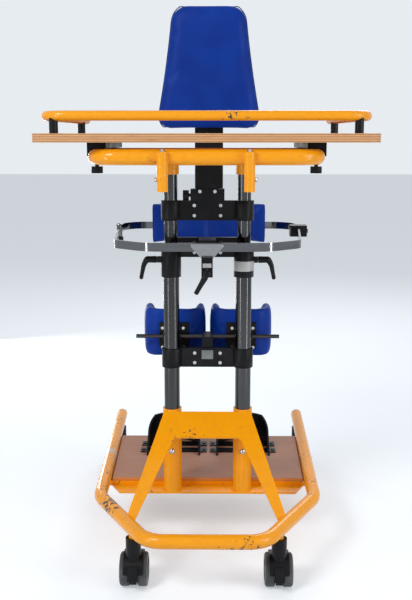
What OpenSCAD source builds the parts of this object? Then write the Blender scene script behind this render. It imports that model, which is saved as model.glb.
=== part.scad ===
/* [Base frame] */
// Overall length of the wheeled base
base_len = 882; // [850:1:920]
// Outer diameter of the base tube
tube_d = 32; // [30:0.5:34]
// Wall of the base tube
tube_wall = 2.5; // [2:0.1:3]
// Height of the base tube's centreline
frame_z = 140; // [139:0.5:142]
// Width of the front bar between its two corners
front_bar_w = 256; // [240:1:270]
// Width of the base at its shoulders
shoulder_w = 516; // [510:1:530]
// Distance from the front bar back to the shoulders
shoulder_back = 234; // [225:1:245]
// Width of the base at its rear ends
rear_w = 546; // [540:1:556]
// Bend radius at the front bar's corners
front_bend = 65; // [50:1:70]
// Bend radius at the shoulders
shoulder_bend = 100; // [70:1:120]
// Thickness of the caps on the tube's ends
cap_t = 3; // [2:0.5:5]

/* [Posts and brace] */
// Distance from the base's front end back to the posts
post_back = 341; // [335:1:345]
// Distance between the two posts
post_gap = 174; // [170:1:178]
// Outer diameter of the lower posts
lower_d = 38; // [37:0.5:39]
// Wall of the lower posts
lower_wall = 2.5; // [2:0.1:2.8]
// Outer diameter of the telescoping upper posts
upper_d = 32; // [31:0.5:32.5]
// Wall of the upper posts
upper_wall = 2; // [1.5:0.1:3]
// Height of the lower posts' top ends
lower_top = 700; // [695:1:705]
// Height of the upper posts' bottom ends
upper_foot = 430; // [400:1:480]
// Outer diameter of the welded sleeves
sleeve_d = 46; // [44:0.5:48]
// Height of the sleeves' top ends
sleeve_top = 336; // [334:1:339]
// Height of the brace plate's upper edge
brace_top = 331; // [320:1:333]
// Thickness of the brace plate
brace_t = 5; // [4:0.5:6]
// Width of the brace plate's upper edge
brace_w = 212; // [200:1:220]
// Width of the brace plate across its feet
brace_foot_w = 358; // [350:1:362]
// Distance that the brace plate runs forward
brace_run = 200; // [195:1:205]
// Height that the brace plate drops
brace_drop = 178; // [174:1:182]
// Height of the band above the brace plate's arch, along the plate
brace_band = 70; // [60:1:80]
// Width of the arch at its top
arch_w = 158; // [150:1:164]
// Width of a leg of the brace plate at its foot
brace_leg = 20; // [16:1:24]
// Diameter of the sleeve lock bolts' heads
lock_d = 14; // [10:1:16]
// Height of the sleeve lock bolts
lock_z = 230; // [200:1:260]

/* [Footboard] */
// Height of the footboard's upper face
board_z = 140; // [138:0.5:142]
// Thickness of the footboard
board_t = 9; // [8:0.5:10]
// Depth of the footboard from front to back
board_deep = 314; // [300:1:330]
// Gap between the footboard and the base tube
board_gap = 2; // [1.5:0.5:4]
// Depth of the ledge that the posts stand on
ledge_deep = 50; // [48:1:54]
// Thickness of the ledge and of the angles under the footboard
ledge_t = 5; // [4:0.5:6]
// Width of one heel cup
heel_w = 146; // [140:1:150]
// Gap between the two heel cups
heel_gap = 44; // [40:1:48]
// Length of a heel cup
heel_len = 137; // [130:1:145]
// Height of a heel cup at the heel
heel_h = 80; // [60:1:84]
// Wall of a heel cup
heel_wall = 5; // [4:0.5:6]
// Distance from the footboard's front edge back to the heel cups
heel_back = 155; // [150:1:165]

/* [Castors] */
// Diameter of the castor wheels
wheel_d = 75; // [72:1:76]
// Width of one wheel
wheel_w = 22; // [18:1:22]
// Width of the web between a castor's two wheels
web_w = 16; // [14:1:18]
// Width of a castor's hood
hood_w = 44; // [36:1:50]
// Swivel offset of the wheels from the stem
trail = 14; // [12:1:16]
// Diameter of the castor stem
stem_d = 10; // [8:0.5:12]
// Half the distance between the front stems
castor_x = 162; // [155:1:168]
// Distance from the base's rear end forward to the rear stems
castor_rear = 61; // [58:1:80]

/* [Clamp brackets] */
// Outer diameter of the lower brackets' collars
collar_d = 48; // [46:0.5:50]
// Thickness of a bracket's web
bracket_t = 14; // [12:1:16]
// Height of the hip bracket's lower face
hip_z = 664; // [662:1:668]
// Height of the hip bracket's collars
hip_collar_h = 67; // [60:1:70]
// Height of the hoop band's middle
hoop_z = 743.5; // [740:0.5:747]
// Height of a bracket's web
web_h = 47; // [44:1:50]
// Height of the knee bracket's lower face
knee_z = 441; // [438:1:450]
// Outer diameter of the chest bracket's collars
chest_collar_d = 46; // [44:0.5:48]
// Height of the chest bracket's lower face
chest_z = 799; // [797:1:804]
// Diameter of the bracket screws' heads
screw_d = 10; // [8:0.5:11]

/* [Knee supports] */
// Distance of the knee rod behind the posts
rod_back = 50; // [49:0.5:52]
// Diameter of the knee rod
rod_d = 10; // [8:0.5:12]
// Length of the knee rod
rod_len = 356; // [340:1:370]
// Height of the knee rod
rod_z = 505; // [500:1:508]
// Width of a knee cup's mounting plate
knee_plate_w = 75; // [65:1:80]
// Height of a knee cup's mounting plate
knee_plate_h = 65; // [60:1:70]
// Height of a knee pad
knee_h = 134; // [120:1:140]
// Depth of a knee pad's wings
knee_deep = 85; // [70:1:90]
// Thickness of a knee pad behind the knee rod
knee_t = 26; // [20:1:30]
// Thickness of a knee pad's outer wing
outer_wing_t = 40; // [34:1:42]
// Thickness of a knee pad's inner wing
inner_wing_t = 33; // [28:1:35]

/* [Hip hoop] */
// Height of the hoop band
band_h = 20; // [18:1:22]
// Thickness of the hoop band
band_t = 5; // [4:0.5:6]
// Distance from the posts forward to the hoop's front
hoop_front_y = 75; // [70:1:80]
// Width of the hoop's front stretch
hoop_front_w = 280; // [260:1:300]
// Width of the hoop at its bends beside the posts
hoop_bend_w = 440; // [430:1:450]
// Width between the hoop's side clamps
hoop_w = 488; // [480:1:500]
// Distance of the side clamps behind the posts
clamp_back = 300; // [290:1:305]
// Distance of the rear band behind the posts
hoop_back = 446; // [440:1:452]
// Width of the hip pad
hip_w = 322; // [310:1:330]
// Height of the hip pad
hip_h = 117; // [110:1:124]
// Thickness of the hip pad
hip_t = 34; // [28:1:34]
// Depth of the hip pad's side wings
hip_wing = 55; // [40:1:65]

/* [Back support] */
// Width of the back bar
bar_w = 80; // [70:1:84]
// Thickness of the back bar
bar_t = 8; // [6:0.5:9]
// Height of the back pad's lower edge
back_z = 1011; // [1005:1:1020]
// Height of the back pad
back_h = 339; // [325:1:350]
// Width of the back pad at its lower edge
back_low_w = 311; // [300:1:320]
// Width of the back pad at its upper edge
back_high_w = 209; // [200:1:220]
// Thickness of the back pad
back_t = 45; // [40:1:46]
// Corner radius of the back pad
back_corner = 45; // [35:1:50]

/* [Tray] */
// Width of the tray board
tray_w = 700; // [690:1:720]
// Depth of the tray board
tray_deep = 450; // [445:1:460]
// Thickness of the tray board
tray_t = 18; // [16:1:20]
// Height of the tray board's lower face
tray_z = 981; // [980:1:983]
// Distance from the posts forward to the tray's front edge
tray_front = 305; // [300:1:315]
// Corner radius of the tray board
tray_corner = 25; // [15:1:40]
// Width of the body cut-out
cutout_w = 320; // [300:1:340]
// Depth of the body cut-out
cutout_deep = 110; // [100:1:130]
// Height of the tray frame tube's centreline
arm_z = 952; // [950:0.5:954]
// Width between the tray frame's side arms
arm_w = 456; // [450:1:465]
// Distance from the posts forward to the tray frame's front bar
arm_front = 290; // [284:1:294]
// Distance from the posts back to the tray frame's ends
arm_back = 140; // [130:1:145]
// Diameter of the accessory sockets before the tray frame
stub_d = 22; // [21:0.5:24]
// Bore of the accessory sockets
stub_bore = 16; // [14:0.5:17]
// Diameter of the tray rail
rail_d = 20; // [18:0.5:22]
// Height of the tray rail's centreline above the board
rail_rise = 35; // [32:1:38]
// Width of the tray rail at its front corners
rail_w = 662; // [650:1:670]
// Width of the tray rail at its rear ends
rail_end_w = 600; // [590:1:620]

/* [Hidden] */

$fn = 48;

// Overrun of cuts past the faces that they open
over = 2;
// Radial clearance of a running fit
fit = 0.05;
// Gap between parts that slide or turn past each other
slip = 0.3;
// Gap between a soft part and what carries it
soft_gap = 0.3;

front_y = -base_len / 2 + tube_d / 2;
rear_y = base_len / 2;
post_y = -base_len / 2 + post_back;
post_x = post_gap / 2;
shoulder_y = front_y + shoulder_back;
tube_end_y = rear_y - cap_t;

// The base tube's corner points, from its left rear end round the front to its right one
base_path = [[-rear_w / 2, tube_end_y], [-shoulder_w / 2, shoulder_y], [-front_bar_w / 2, front_y],
    [front_bar_w / 2, front_y], [shoulder_w / 2, shoulder_y], [rear_w / 2, tube_end_y]];
base_bends = [0, shoulder_bend, front_bend, front_bend, shoulder_bend, 0];

// Value at a share of the way from a to b
function part_way(a, b, share) = a + (b - a) * share;
// Sideways place of a side rail's centreline at a place along the base
function rail_x(y) = part_way(shoulder_w / 2, rear_w / 2, (y - shoulder_y) / (tube_end_y - shoulder_y));
// Place along the base of the diagonal tube at a distance from the middle
function diagonal_y(x) = part_way(front_y, shoulder_y,
    (x - front_bar_w / 2) / ((shoulder_w - front_bar_w) / 2));

function angle_of(v) = atan2(v.y, v.x);
// Signed angle that a path turns through at its corner b
function turn(a, b, c) = let (u = b - a, w = c - b) atan2(u.x * w.y - u.y * w.x, u * w);
// How far a bend of radius r reaches along each side of the corner b
function reach(a, b, c, r) = r * tan(abs(turn(a, b, c)) / 2);
// Point at a distance from p towards q
function toward(p, q, len) = p + (q - p) / norm(q - p) * len;
// Centre of the bend of radius r at corner b
function bend_centre(a, b, c, r) = let (u = (b - a) / norm(b - a), s = sign(turn(a, b, c)))
    toward(b, a, reach(a, b, c, r)) + s * r * [-u.y, u.x];
function corner_reach(path, bends, i) = i == 0 || i == len(path) - 1 ? 0
    : reach(path[i - 1], path[i], path[i + 1], bends[i]) - lap;
// The path with both ends moved outward
function stretch(path, by) = let (n = len(path)) [for (i = [0:n - 1])
    i == 0 ? toward(path[0], path[1], -by) : i == n - 1 ? toward(path[i], path[i - 1], -by) : path[i]];

// Points along the rounded corner b of an outline
corner_steps = 6;
function corner_arc(a, b, c, r) = r == 0 ? [b] : let (m = bend_centre(a, b, c, r),
    s = angle_of(toward(b, a, reach(a, b, c, r)) - m), t = turn(a, b, c))
    [for (k = [0:corner_steps]) m + r * [cos(s + t * k / corner_steps), sin(s + t * k / corner_steps)]];
// A closed outline whose corners have their own radii
function round_outline(points, radii) = let (n = len(points))
    [for (i = [0:n - 1]) each corner_arc(points[(i + n - 1) % n], points[i],
        points[(i + 1) % n], radii[i])];

// A straight run is a hair thicker than a bend and laps over its end, so that the two join soundly
lap = 0.5;
lap_grow = 0.02;
$grow = 0;
// Straight run of a flat section between two points of the plan
module run(p, q) {
    $grow = lap_grow;
    translate(p) rotate([90, 0, angle_of(q - p) + 90]) linear_extrude(norm(q - p)) children();
}
// Bend of a flat section round the corner b
module bend(a, b, c, r) {
    centre = bend_centre(a, b, c, r);
    start = turn(a, b, c) > 0 ? toward(b, a, reach(a, b, c, r)) : toward(b, c, reach(a, b, c, r));
    translate(centre) rotate(angle_of(start - centre))
        rotate_extrude(angle = abs(turn(a, b, c))) translate([r, 0]) children();
}
// A flat section swept along a level path with rounded corners
module sweep_plan(path, bends) {
    for (i = [0:len(path) - 2])
        run(toward(path[i], path[i + 1], corner_reach(path, bends, i)),
            toward(path[i + 1], path[i], corner_reach(path, bends, i + 1))) children();
    for (i = [1:len(path) - 2])
        bend(path[i - 1], path[i], path[i + 1], bends[i]) children();
}
module pipe_section(d, wall) difference() {
    circle(d = d);
    circle(d = d - wall * 2);
}
module upright_tube(d, wall, low, high) translate([0, 0, low]) linear_extrude(high - low)
    pipe_section(d, wall);
module both_sides() {
    children();
    mirror([1, 0, 0]) children();
}
module at_posts() both_sides() translate([post_x, post_y, 0]) children();
module at_level(low) translate([0, 0, low]) children();
// Cylinder along X or along Y, from its start to its end
module along_x(d, h) rotate([0, 90, 0]) cylinder(d = d, h = h);
module along_y(d, h) rotate([-90, 0, 0]) cylinder(d = d, h = h);
// Share by which a rounded end is wider than what carries it
ball_share = 1.1;
// Screw head that lies against an upright face and points to the front
head_share = 0.35;
head_face = 0.8;
module front_head(d) rotate([90, 0, 0]) {
    cylinder(d = d, h = d * head_share / 2);
    cylinder(d = d * head_face, h = d * head_share);
}

// Unit normal of a curve in plan, which points to the front
normal_step = 0.01;
function curve_normal(curve, t) =
    let (d = curve(min(t + normal_step, 1)) - curve(max(t - normal_step, -1))) [d.y, -d.x] / norm(d);
// Outline of a band that follows a curve from t = -1 to 1, half_t(t) thick on each side of it
function band_point(curve, half_t, t, side) = curve(t) + curve_normal(curve, t) * side * half_t(t);
function band_outline(curve, half_t, steps) = concat(
    [for (i = [0:steps]) band_point(curve, half_t, i * 2 / steps - 1, 1)],
    [for (i = [0:steps]) band_point(curve, half_t, 1 - i * 2 / steps, -1)]);

// Castor places and heights

tube_low = frame_z - tube_d / 2;
bush_d = 20;
bush_drop = 4;
bush_z = tube_low - bush_drop;
bush_top = frame_z + tube_d / 8;
stem_top = frame_z;
front_castor = [castor_x, diagonal_y(castor_x)];
rear_castor_y = rear_y - castor_rear;
rear_castor = [rail_x(rear_castor_y), rear_castor_y];
axle_z = wheel_d / 2;
axle_d = 8;
hood_gap = 1.5;
hood_t = 4;
hood_r = wheel_d / 2 + hood_gap;
neck_d = 34;
hood_cut = 1.3;

module at_castors() both_sides() for (p = [front_castor, rear_castor]) translate(p) children();

module base_frame() color("orange") difference() {
    union() {
        difference() {
            base_space();
            at_level(frame_z) sweep_plan(stretch(base_path, over), base_bends)
                circle(d = tube_d - tube_wall * 2 + $grow);
        }
        at_castors() at_level(bush_z) cylinder(d = bush_d, h = bush_top - bush_z);
    }
    at_castors() at_level(bush_z - over)
        cylinder(d = stem_d + fit * 2, h = bush_top - bush_z + over * 2);
}
// The space that the base tube fills, for the parts that are welded or fitted to it
module base_space() at_level(frame_z) sweep_plan(base_path, base_bends) circle(d = tube_d + $grow);

module tube_caps() color("#17171a") intersection() {
    both_sides() translate([rear_w / 2, tube_end_y, frame_z])
        rotate([90, 0, angle_of([(rear_w - shoulder_w) / 2, tube_end_y - shoulder_y]) - 90]) {
        mirror([0, 0, 1]) cylinder(d = tube_d, h = cap_t + over);
        cylinder(d = tube_d - tube_wall * 2, h = cap_t * 4);
    }
    translate([-rear_w, 0, 0]) cube([rear_w * 2, rear_y, frame_z * 2]);
}

// The castor's hood with its stem; the wheels trail towards the rear at trail_y
module castor_hood(trail_y) color("#1c1c1f") {
    at_level(axle_z + hood_r) cylinder(d = stem_d, h = stem_top - axle_z - hood_r);
    difference() {
        union() {
            translate([-hood_w / 2, trail_y, axle_z]) along_x((hood_r + hood_t) * 2, hood_w);
            at_level(axle_z) cylinder(d = neck_d, h = bush_z - slip - axle_z);
        }
        for (side = [-1, 1]) translate([side * (web_w / 2 + hood_w / 2), trail_y, axle_z])
            rotate([0, 90, 0]) cylinder(r = hood_r, h = hood_w, center = true);
        translate([-hood_w, trail_y, axle_z]) along_x(axle_d + fit * 2, hood_w * 2);
        translate([-hood_w, -wheel_d * 2, -wheel_d]) cube([hood_w * 2, wheel_d * 4, axle_z / 2 + wheel_d]);
        for (side = [-1, 1]) translate([side * (web_w / 2 + hood_w / 2), trail_y, axle_z / 2])
            cube([hood_w, wheel_d * 2, axle_z * hood_cut], center = true);
    }
}
wheel_in = web_w / 2 + slip * 2;
tyre_t = 9;
hub_dish = 3;
module castor_wheels(trail_y) color("#26262a") translate([0, trail_y, axle_z]) {
    translate([-wheel_in, 0, 0]) along_x(axle_d, wheel_in * 2);
    both_sides() translate([wheel_in, 0, 0]) rotate([0, 90, 0]) rotate_extrude()
        polygon([[0, 0], [wheel_d / 2 - tyre_t, 0], [wheel_d / 2 - tyre_t, wheel_w],
            [wheel_d / 2 - tyre_t * 1.5, wheel_w - hub_dish / 2], [axle_d, wheel_w - hub_dish],
            [axle_d, wheel_w], [0, wheel_w]]);
}
tread_chamfer = 3;
module castor_tyres(trail_y) color("#8f9296") translate([0, trail_y, axle_z])
    both_sides() translate([wheel_in, 0, 0]) rotate([0, 90, 0]) rotate_extrude()
        polygon([[wheel_d / 2 - tyre_t, 0], [wheel_d / 2 - tread_chamfer, 0],
            [wheel_d / 2, tread_chamfer], [wheel_d / 2, wheel_w - tread_chamfer],
            [wheel_d / 2 - tread_chamfer, wheel_w], [wheel_d / 2 - tyre_t, wheel_w]]);

// The brake tab turns on a barrel that lies along the front of a front castor's hood
tab_w = 24;
tab_h = 30;
tab_t = 4;
tab_plate_t = 3;
tab_inset = 1;
tab_angle = 30;
tab_out = hood_r + hood_t + tab_t / 2 + slip;
tab_y = trail - tab_out * cos(tab_angle);
tab_z = axle_z + tab_out * sin(tab_angle);
module brake_tab() color("#1c1c1f") translate([0, tab_y, tab_z]) {
    translate([-tab_w / 2, 0, 0]) along_x(tab_t, tab_w);
    rotate([-tab_angle, 0, 0]) translate([tab_inset - tab_w / 2, -tab_plate_t / 2, -tab_h])
        cube([tab_w - tab_inset * 2, tab_plate_t, tab_h]);
}

// Footboard

board_ahead = 3;
board_front = post_y + ledge_deep / 2 + board_ahead;
board_back = board_front + board_deep;
pan_z = board_z - board_t;
ledge_drop = 3;
ledge_z = pan_z - ledge_t - ledge_drop;
angle_reach = 4;
module footboard_frame() color("orange") difference() {
    angle_in = shoulder_w / 2 - tube_d - angle_reach;
    lip_half = rail_x(board_front);
    ledge_half = lip_half - tube_d / 2;
    union() {
        at_level(ledge_z - ledge_t) linear_extrude(ledge_t)
            polygon([[-ledge_half, board_front], [ledge_half, board_front],
                [ledge_half - ledge_deep / 2, board_front - ledge_deep],
                [-ledge_half + ledge_deep / 2, board_front - ledge_deep]]);
        // the lip behind the ledge and the side strips reach the rails' centrelines
        translate([-lip_half, board_front, ledge_z - ledge_t])
            cube([lip_half * 2, ledge_t, pan_z - ledge_z + ledge_t]);
        both_sides() at_level(pan_z - ledge_t) linear_extrude(ledge_t)
            polygon([[angle_in, board_front], [lip_half, board_front],
                [rail_x(board_back), board_back], [angle_in, board_back]]);
        translate([-angle_in - over, board_back - ledge_t * 4, pan_z - ledge_t])
            cube([(angle_in + over) * 2, ledge_t * 4, ledge_t]);
    }
    base_space();
}

board_half_front = rail_x(board_front) - tube_d / 2 - board_gap;
board_half_back = rail_x(board_back) - tube_d / 2 - board_gap;
module footboard() color("#a3755c") at_level(pan_z) linear_extrude(board_t)
    polygon([[-board_half_front, board_front], [board_half_front, board_front],
        [board_half_back, board_back], [-board_half_back, board_back]]);

heel_mid_x = (heel_gap + heel_w) / 2;
heel_front = board_front + heel_back;
strap_t = 3;
strap_w = 30;
strap_over = 20;
// Places of the heel cup's screws along its strap, as shares of the cup's length
screw_shares = [0.28, 0.64];
module heel_screw_places() both_sides() for (share = screw_shares)
    for (x = [heel_gap / 2 - strap_over / 2, heel_gap / 2 + heel_w + strap_over / 2])
        translate([x, heel_front + heel_len * share, board_z + strap_t]) children();
board_screw_d = 9;
board_screw_h = 2;
module footboard_screws() color("silver") heel_screw_places()
    cylinder(d = board_screw_d, h = board_screw_h);

heel_slope_share = 0.8;
// A heel cup is a U-shaped wall, open to the front, on two straps across the footboard
module heel_outline(grow) union() {
    r = heel_w / 2 - grow;
    translate([0, heel_len - heel_w / 2]) circle(r = r);
    translate([-r, -over * 2]) square([r * 2, heel_len - heel_w / 2 + over * 2]);
}
module heel_cup() color("#1b1b1e") translate([heel_mid_x, heel_front, board_z]) {
    slope = atan2(heel_h - strap_t, heel_len * heel_slope_share);
    difference() {
        linear_extrude(heel_h) difference() {
            intersection() {
                heel_outline(0);
                translate([-heel_w, 0]) square([heel_w * 2, heel_len]);
            }
            heel_outline(heel_wall);
        }
        at_level(strap_t) rotate([slope, 0, 0]) translate([-heel_w, -heel_len * 2, 0])
            cube([heel_w * 2, heel_len * 4, heel_h * 2]);
    }
    for (share = screw_shares)
        translate([-heel_w / 2 - strap_over + over, heel_len * share - strap_w / 2, 0])
            cube([heel_w + (strap_over - over) * 2, strap_w, strap_t]);
}

// Posts, sleeves and brace

module post_sleeves() color("orange") at_posts()
    upright_tube(sleeve_d, (sleeve_d - lower_d) / 2, ledge_z, sleeve_top);
module lower_posts() color("silver") at_posts() upright_tube(lower_d, lower_wall, ledge_z, lower_top);
module sleeve_bolts() color("silver") at_posts() translate([0, -sleeve_d / 2, lock_z])
    rotate([90, 0, 0]) {
        cylinder(d = lock_d, h = lock_d / 6);
        at_level(lock_d / 6) intersection() {
            at_level(-lock_d / 4) sphere(d = lock_d * ball_share);
            cylinder(d = lock_d, h = lock_d);
        }
    }

slope_len = norm([brace_run, brace_drop]);
brace_gap = 1;
brace_y = post_y - sleeve_d / 2 - brace_gap;
foot_over = 18;
arch_bend = 15;
module brace_plate() color("orange") difference() {
    grow = (brace_foot_w - brace_w) / 2 / slope_len * foot_over;
    foot = slope_len + foot_over;
    half_foot = brace_foot_w / 2 + grow;
    outline = [[-brace_w / 2, -over], [-half_foot, foot], [brace_leg - half_foot, foot],
        [-arch_w / 2, brace_band], [arch_w / 2, brace_band], [half_foot - brace_leg, foot],
        [half_foot, foot], [brace_w / 2, -over]];
    translate([0, brace_y, brace_top]) rotate([180 + atan2(brace_drop, brace_run), 0, 0])
        linear_extrude(brace_t) polygon(round_outline(outline,
            [over * 2, 0, 0, arch_bend, arch_bend, 0, 0, over * 2]));
    base_space();
    at_posts() at_level(ledge_z) cylinder(d = sleeve_d, h = sleeve_top);
}

// The mast

web_drop = 8.5;
hip_web_z = hoop_z - web_h / 2 - web_drop;
tray_sleeve_h = 45;
tray_sleeve_wall = 4;
module hip_bracket() color("#1c1c1f") difference() {
    union() {
        at_posts() at_level(hip_z) cylinder(d = collar_d, h = hip_collar_h);
        translate([-post_x, post_y - bracket_t / 2, hip_web_z]) cube([post_gap, bracket_t, web_h]);
        // bosses that the clamp levers screw into
        both_sides() translate([post_x, post_y, lever_z]) along_x(lever_boss_d, lever_x - post_x - slip);
    }
    at_posts() at_level(hip_z - over) cylinder(d = lower_d, h = lower_top - hip_z + over);
    at_posts() at_level(lower_top - over)
        cylinder(d = upper_d + fit * 2, h = hip_z + hip_collar_h - lower_top + over);
    at_posts() at_level(hip_z + hip_collar_h) cylinder(d = upper_d + over, h = web_h * 2);
    both_sides() translate([lever_x - lever_pin, post_y, lever_z])
        along_x(lever_pin_d + fit * 2, lever_pin * 2);
}
module upper_posts() color("silver") at_posts()
    upright_tube(upper_d, upper_wall, upper_foot, arm_z - tube_d / 4);

// Clamp levers: a hub on a pin, with an arm that hangs down and outward
lever_z = 705;
lever_boss_out = 10;
lever_x = post_x + collar_d / 2 + lever_boss_out;
lever_boss_d = 16;
lever_pin = 10;
lever_pin_d = 8;
hub_d = 18;
hub_w = 14;
lever_arm = 46;
lever_lean = 28;
grip_d = 11;
module clamp_lever() color("#141416") translate([lever_x, post_y, lever_z]) {
    translate([-lever_pin + slip, 0, 0]) along_x(lever_pin_d, lever_pin);
    along_x(hub_d, hub_w);
    translate([hub_w - grip_d / 2, 0, 0]) hull() {
        sphere(d = grip_d, $fn = 24);
        rotate([0, -lever_lean, 0]) at_level(-lever_arm) sphere(d = grip_d * ball_share, $fn = 24);
    }
}

housing_w = 80;
housing_h = 27;
housing_deep = 30;
spine_w = 52;
spine_deep = 24;
knob_rise = 12;
chest_top = chest_z + web_h;
module chest_bracket() color("#1c1c1f") difference() {
    union() {
        at_posts() at_level(chest_z) cylinder(d = chest_collar_d, h = web_h);
        translate([-post_x, post_y - bracket_t / 2, chest_z]) cube([post_gap, bracket_t, web_h]);
        translate([-housing_w / 2, post_y - housing_deep / 2, chest_top])
            cube([housing_w, housing_deep, housing_h]);
        translate([-spine_w / 2, post_y - spine_deep / 2, chest_top + housing_h])
            cube([spine_w, spine_deep, arm_z - chest_top - housing_h]);
    }
    at_posts() at_level(chest_z - over) cylinder(d = upper_d, h = web_h + over * 2);
    translate([-housing_w, post_y, arm_z]) along_x(tube_d, housing_w * 2);
    translate([-housing_w / 2 - over, post_y, chest_top + knob_rise])
        along_x(knob_stem_d + fit * 2, knob_seat + over);
}
screw_gap_x = 62;
screw_gap_z = 24;
small_screw = 0.8;
housing_across = 0.22;
housing_up = 0.8;
module web_screws(low) for (side = [-1, 1]) for (row = [-1, 1])
    translate([side * screw_gap_x / 2, post_y - bracket_t / 2, low + web_h / 2 + row * screw_gap_z / 2])
        front_head(screw_d);
module chest_screws() color("silver") {
    web_screws(chest_z);
    for (side = [-1, 1]) translate([side * housing_w * housing_across, post_y - housing_deep / 2,
        chest_top + housing_h * housing_up]) front_head(screw_d * small_screw);
}

// A turned hand knob whose stem points along +Z and starts at the knob's seat
knob_d = 24;
knob_h = 14;
knob_stem_d = 8;
knob_seat = 14;
knob_neck = 4;
flute_share = 0.12;
module knob() {
    at_level(-knob_neck - slip) cylinder(d = knob_stem_d, h = knob_seat + knob_neck);
    at_level(-knob_neck - knob_h) difference() {
        cylinder(d = knob_d, h = knob_h);
        for (a = [0:60:300]) rotate(a) translate([knob_d / 2 * (1 + flute_share), 0, -over])
            cylinder(d = knob_d / 4, h = knob_h + over * 2);
    }
}
module chest_knob() color("#141416") translate([-housing_w / 2, post_y, chest_top + knob_rise])
    rotate([0, 90, 0]) knob();

// Tray frame and tray

arm_y = post_y - arm_front;
arm_end_y = post_y + arm_back;
arm_bend = 50;
arm_path = [[-arm_w / 2, arm_end_y], [-arm_w / 2, arm_y], [arm_w / 2, arm_y], [arm_w / 2, arm_end_y]];
stub_ahead = 18;
stub_drop = 68;
stub_rise = 11;
stub_y = arm_y - stub_ahead;
stub_low = arm_z - stub_drop;
stub_top = arm_z + stub_rise;
stub_deep = 48;
tray_knob_back = 12;
tray_knob_y = arm_y + arm_bend + tray_knob_back;
module tray_frame() color("orange") difference() {
    union() {
        at_level(arm_z) sweep_plan(arm_path, [0, arm_bend, arm_bend, 0]) circle(d = tube_d + $grow);
        translate([-arm_w / 2, post_y, arm_z]) along_x(tube_d, arm_w);
        at_posts() at_level(arm_z - tray_sleeve_h)
            cylinder(d = upper_d + tray_sleeve_wall * 2, h = tray_sleeve_h);
        both_sides() translate([post_x, stub_y, stub_low]) cylinder(d = stub_d, h = stub_top - stub_low);
    }
    at_posts() at_level(arm_z - tray_sleeve_h - over)
        cylinder(d = upper_d, h = tray_sleeve_h - tube_d / 4 + over);
    both_sides() translate([post_x, stub_y, stub_low - over]) cylinder(d = stub_bore, h = stub_deep + over);
    both_sides() translate([arm_w / 2, tray_knob_y, arm_z - tube_d / 2 - over])
        cylinder(d = knob_stem_d + fit * 2, h = knob_seat + over);
}
// the screws of the chest bracket and of the tray sockets share one file
module upper_screws() color("silver") { chest_screws(); socket_bolts(); }
module socket_bolts() color("silver") both_sides() {
    translate([post_x, stub_y, stub_top]) cylinder(d = screw_d * ball_share, h = screw_d / 2, $fn = 6);
    translate([post_x + stub_d / 2, stub_y, stub_low + stub_deep / 2])
        along_x(screw_d * small_screw, screw_d / 2);
}
module tray_knob() color("#141416") translate([arm_w / 2, tray_knob_y, arm_z - tube_d / 2]) knob();

tray_front_y = post_y - tray_front;
cutout_bend = 70;
module tray_board() color("#b9793f") at_level(tray_z) linear_extrude(tray_t)
    polygon(round_outline(
        [[-tray_w / 2, tray_front_y], [tray_w / 2, tray_front_y],
            [tray_w / 2, tray_front_y + tray_deep], [cutout_w / 2, tray_front_y + tray_deep],
            [cutout_w / 2, tray_front_y + tray_deep - cutout_deep],
            [-cutout_w / 2, tray_front_y + tray_deep - cutout_deep],
            [-cutout_w / 2, tray_front_y + tray_deep], [-tray_w / 2, tray_front_y + tray_deep]],
        [tray_corner, tray_corner, tray_corner, tray_corner, cutout_bend, cutout_bend,
            tray_corner, tray_corner]));
slide_w = 40;
slide_lip = 8;
slide_front = 35;
slide_back = 25;
module tray_slides() color("#1c1c1f") both_sides() {
    low = arm_z + (tube_d + lap_grow) / 2 + fit;
    inner = (arm_w + tube_d + lap_grow) / 2 + fit - slide_w + slide_lip;
    start = arm_y + arm_bend + slide_front;
    slide_len = arm_end_y - slide_back - start;
    translate([inner, start, low]) cube([slide_w, slide_len, tray_z - low]);
    translate([inner + slide_w - slide_lip, start, arm_z])
        cube([slide_lip, slide_len, tray_z - arm_z]);
}
rail_z = tray_z + tray_t + rail_rise;
rail_front_y = tray_front_y + rail_d;
rail_end_gap = 25;
rail_end_y = tray_front_y + tray_deep - rail_end_gap;
rail_bend = 45;
rail_path = [[-rail_end_w / 2, rail_end_y], [-rail_w / 2, rail_front_y],
    [rail_w / 2, rail_front_y], [rail_end_w / 2, rail_end_y]];
module rail_sweep() at_level(rail_z)
    sweep_plan(rail_path, [0, rail_bend, rail_bend, 0]) circle(d = rail_d + $grow);
module tray_rail() color("orange") rail_sweep();
standoff_gap = 614;
standoff_d = 18;
rail_corner = bend_centre(rail_path[1], rail_path[2], rail_path[3], rail_bend);
standoff_front_y = rail_corner.y - sqrt(pow(rail_bend, 2) - pow(standoff_gap / 2 - rail_corner.x, 2));
standoff_inset = 53;
standoff_back_y = rail_end_y - standoff_inset;
standoff_rear_x = part_way(rail_end_w, rail_w, (rail_end_y - standoff_back_y)
    / (rail_end_y - rail_front_y)) / 2;
module rail_standoffs() color("#1c1c1f") difference() {
    both_sides() for (p = [[standoff_gap / 2, standoff_front_y], [standoff_rear_x, standoff_back_y]])
        translate([p.x, p.y, tray_z + tray_t]) cylinder(d = standoff_d, h = rail_rise);
    rail_sweep();
}

// Knee supports

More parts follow.
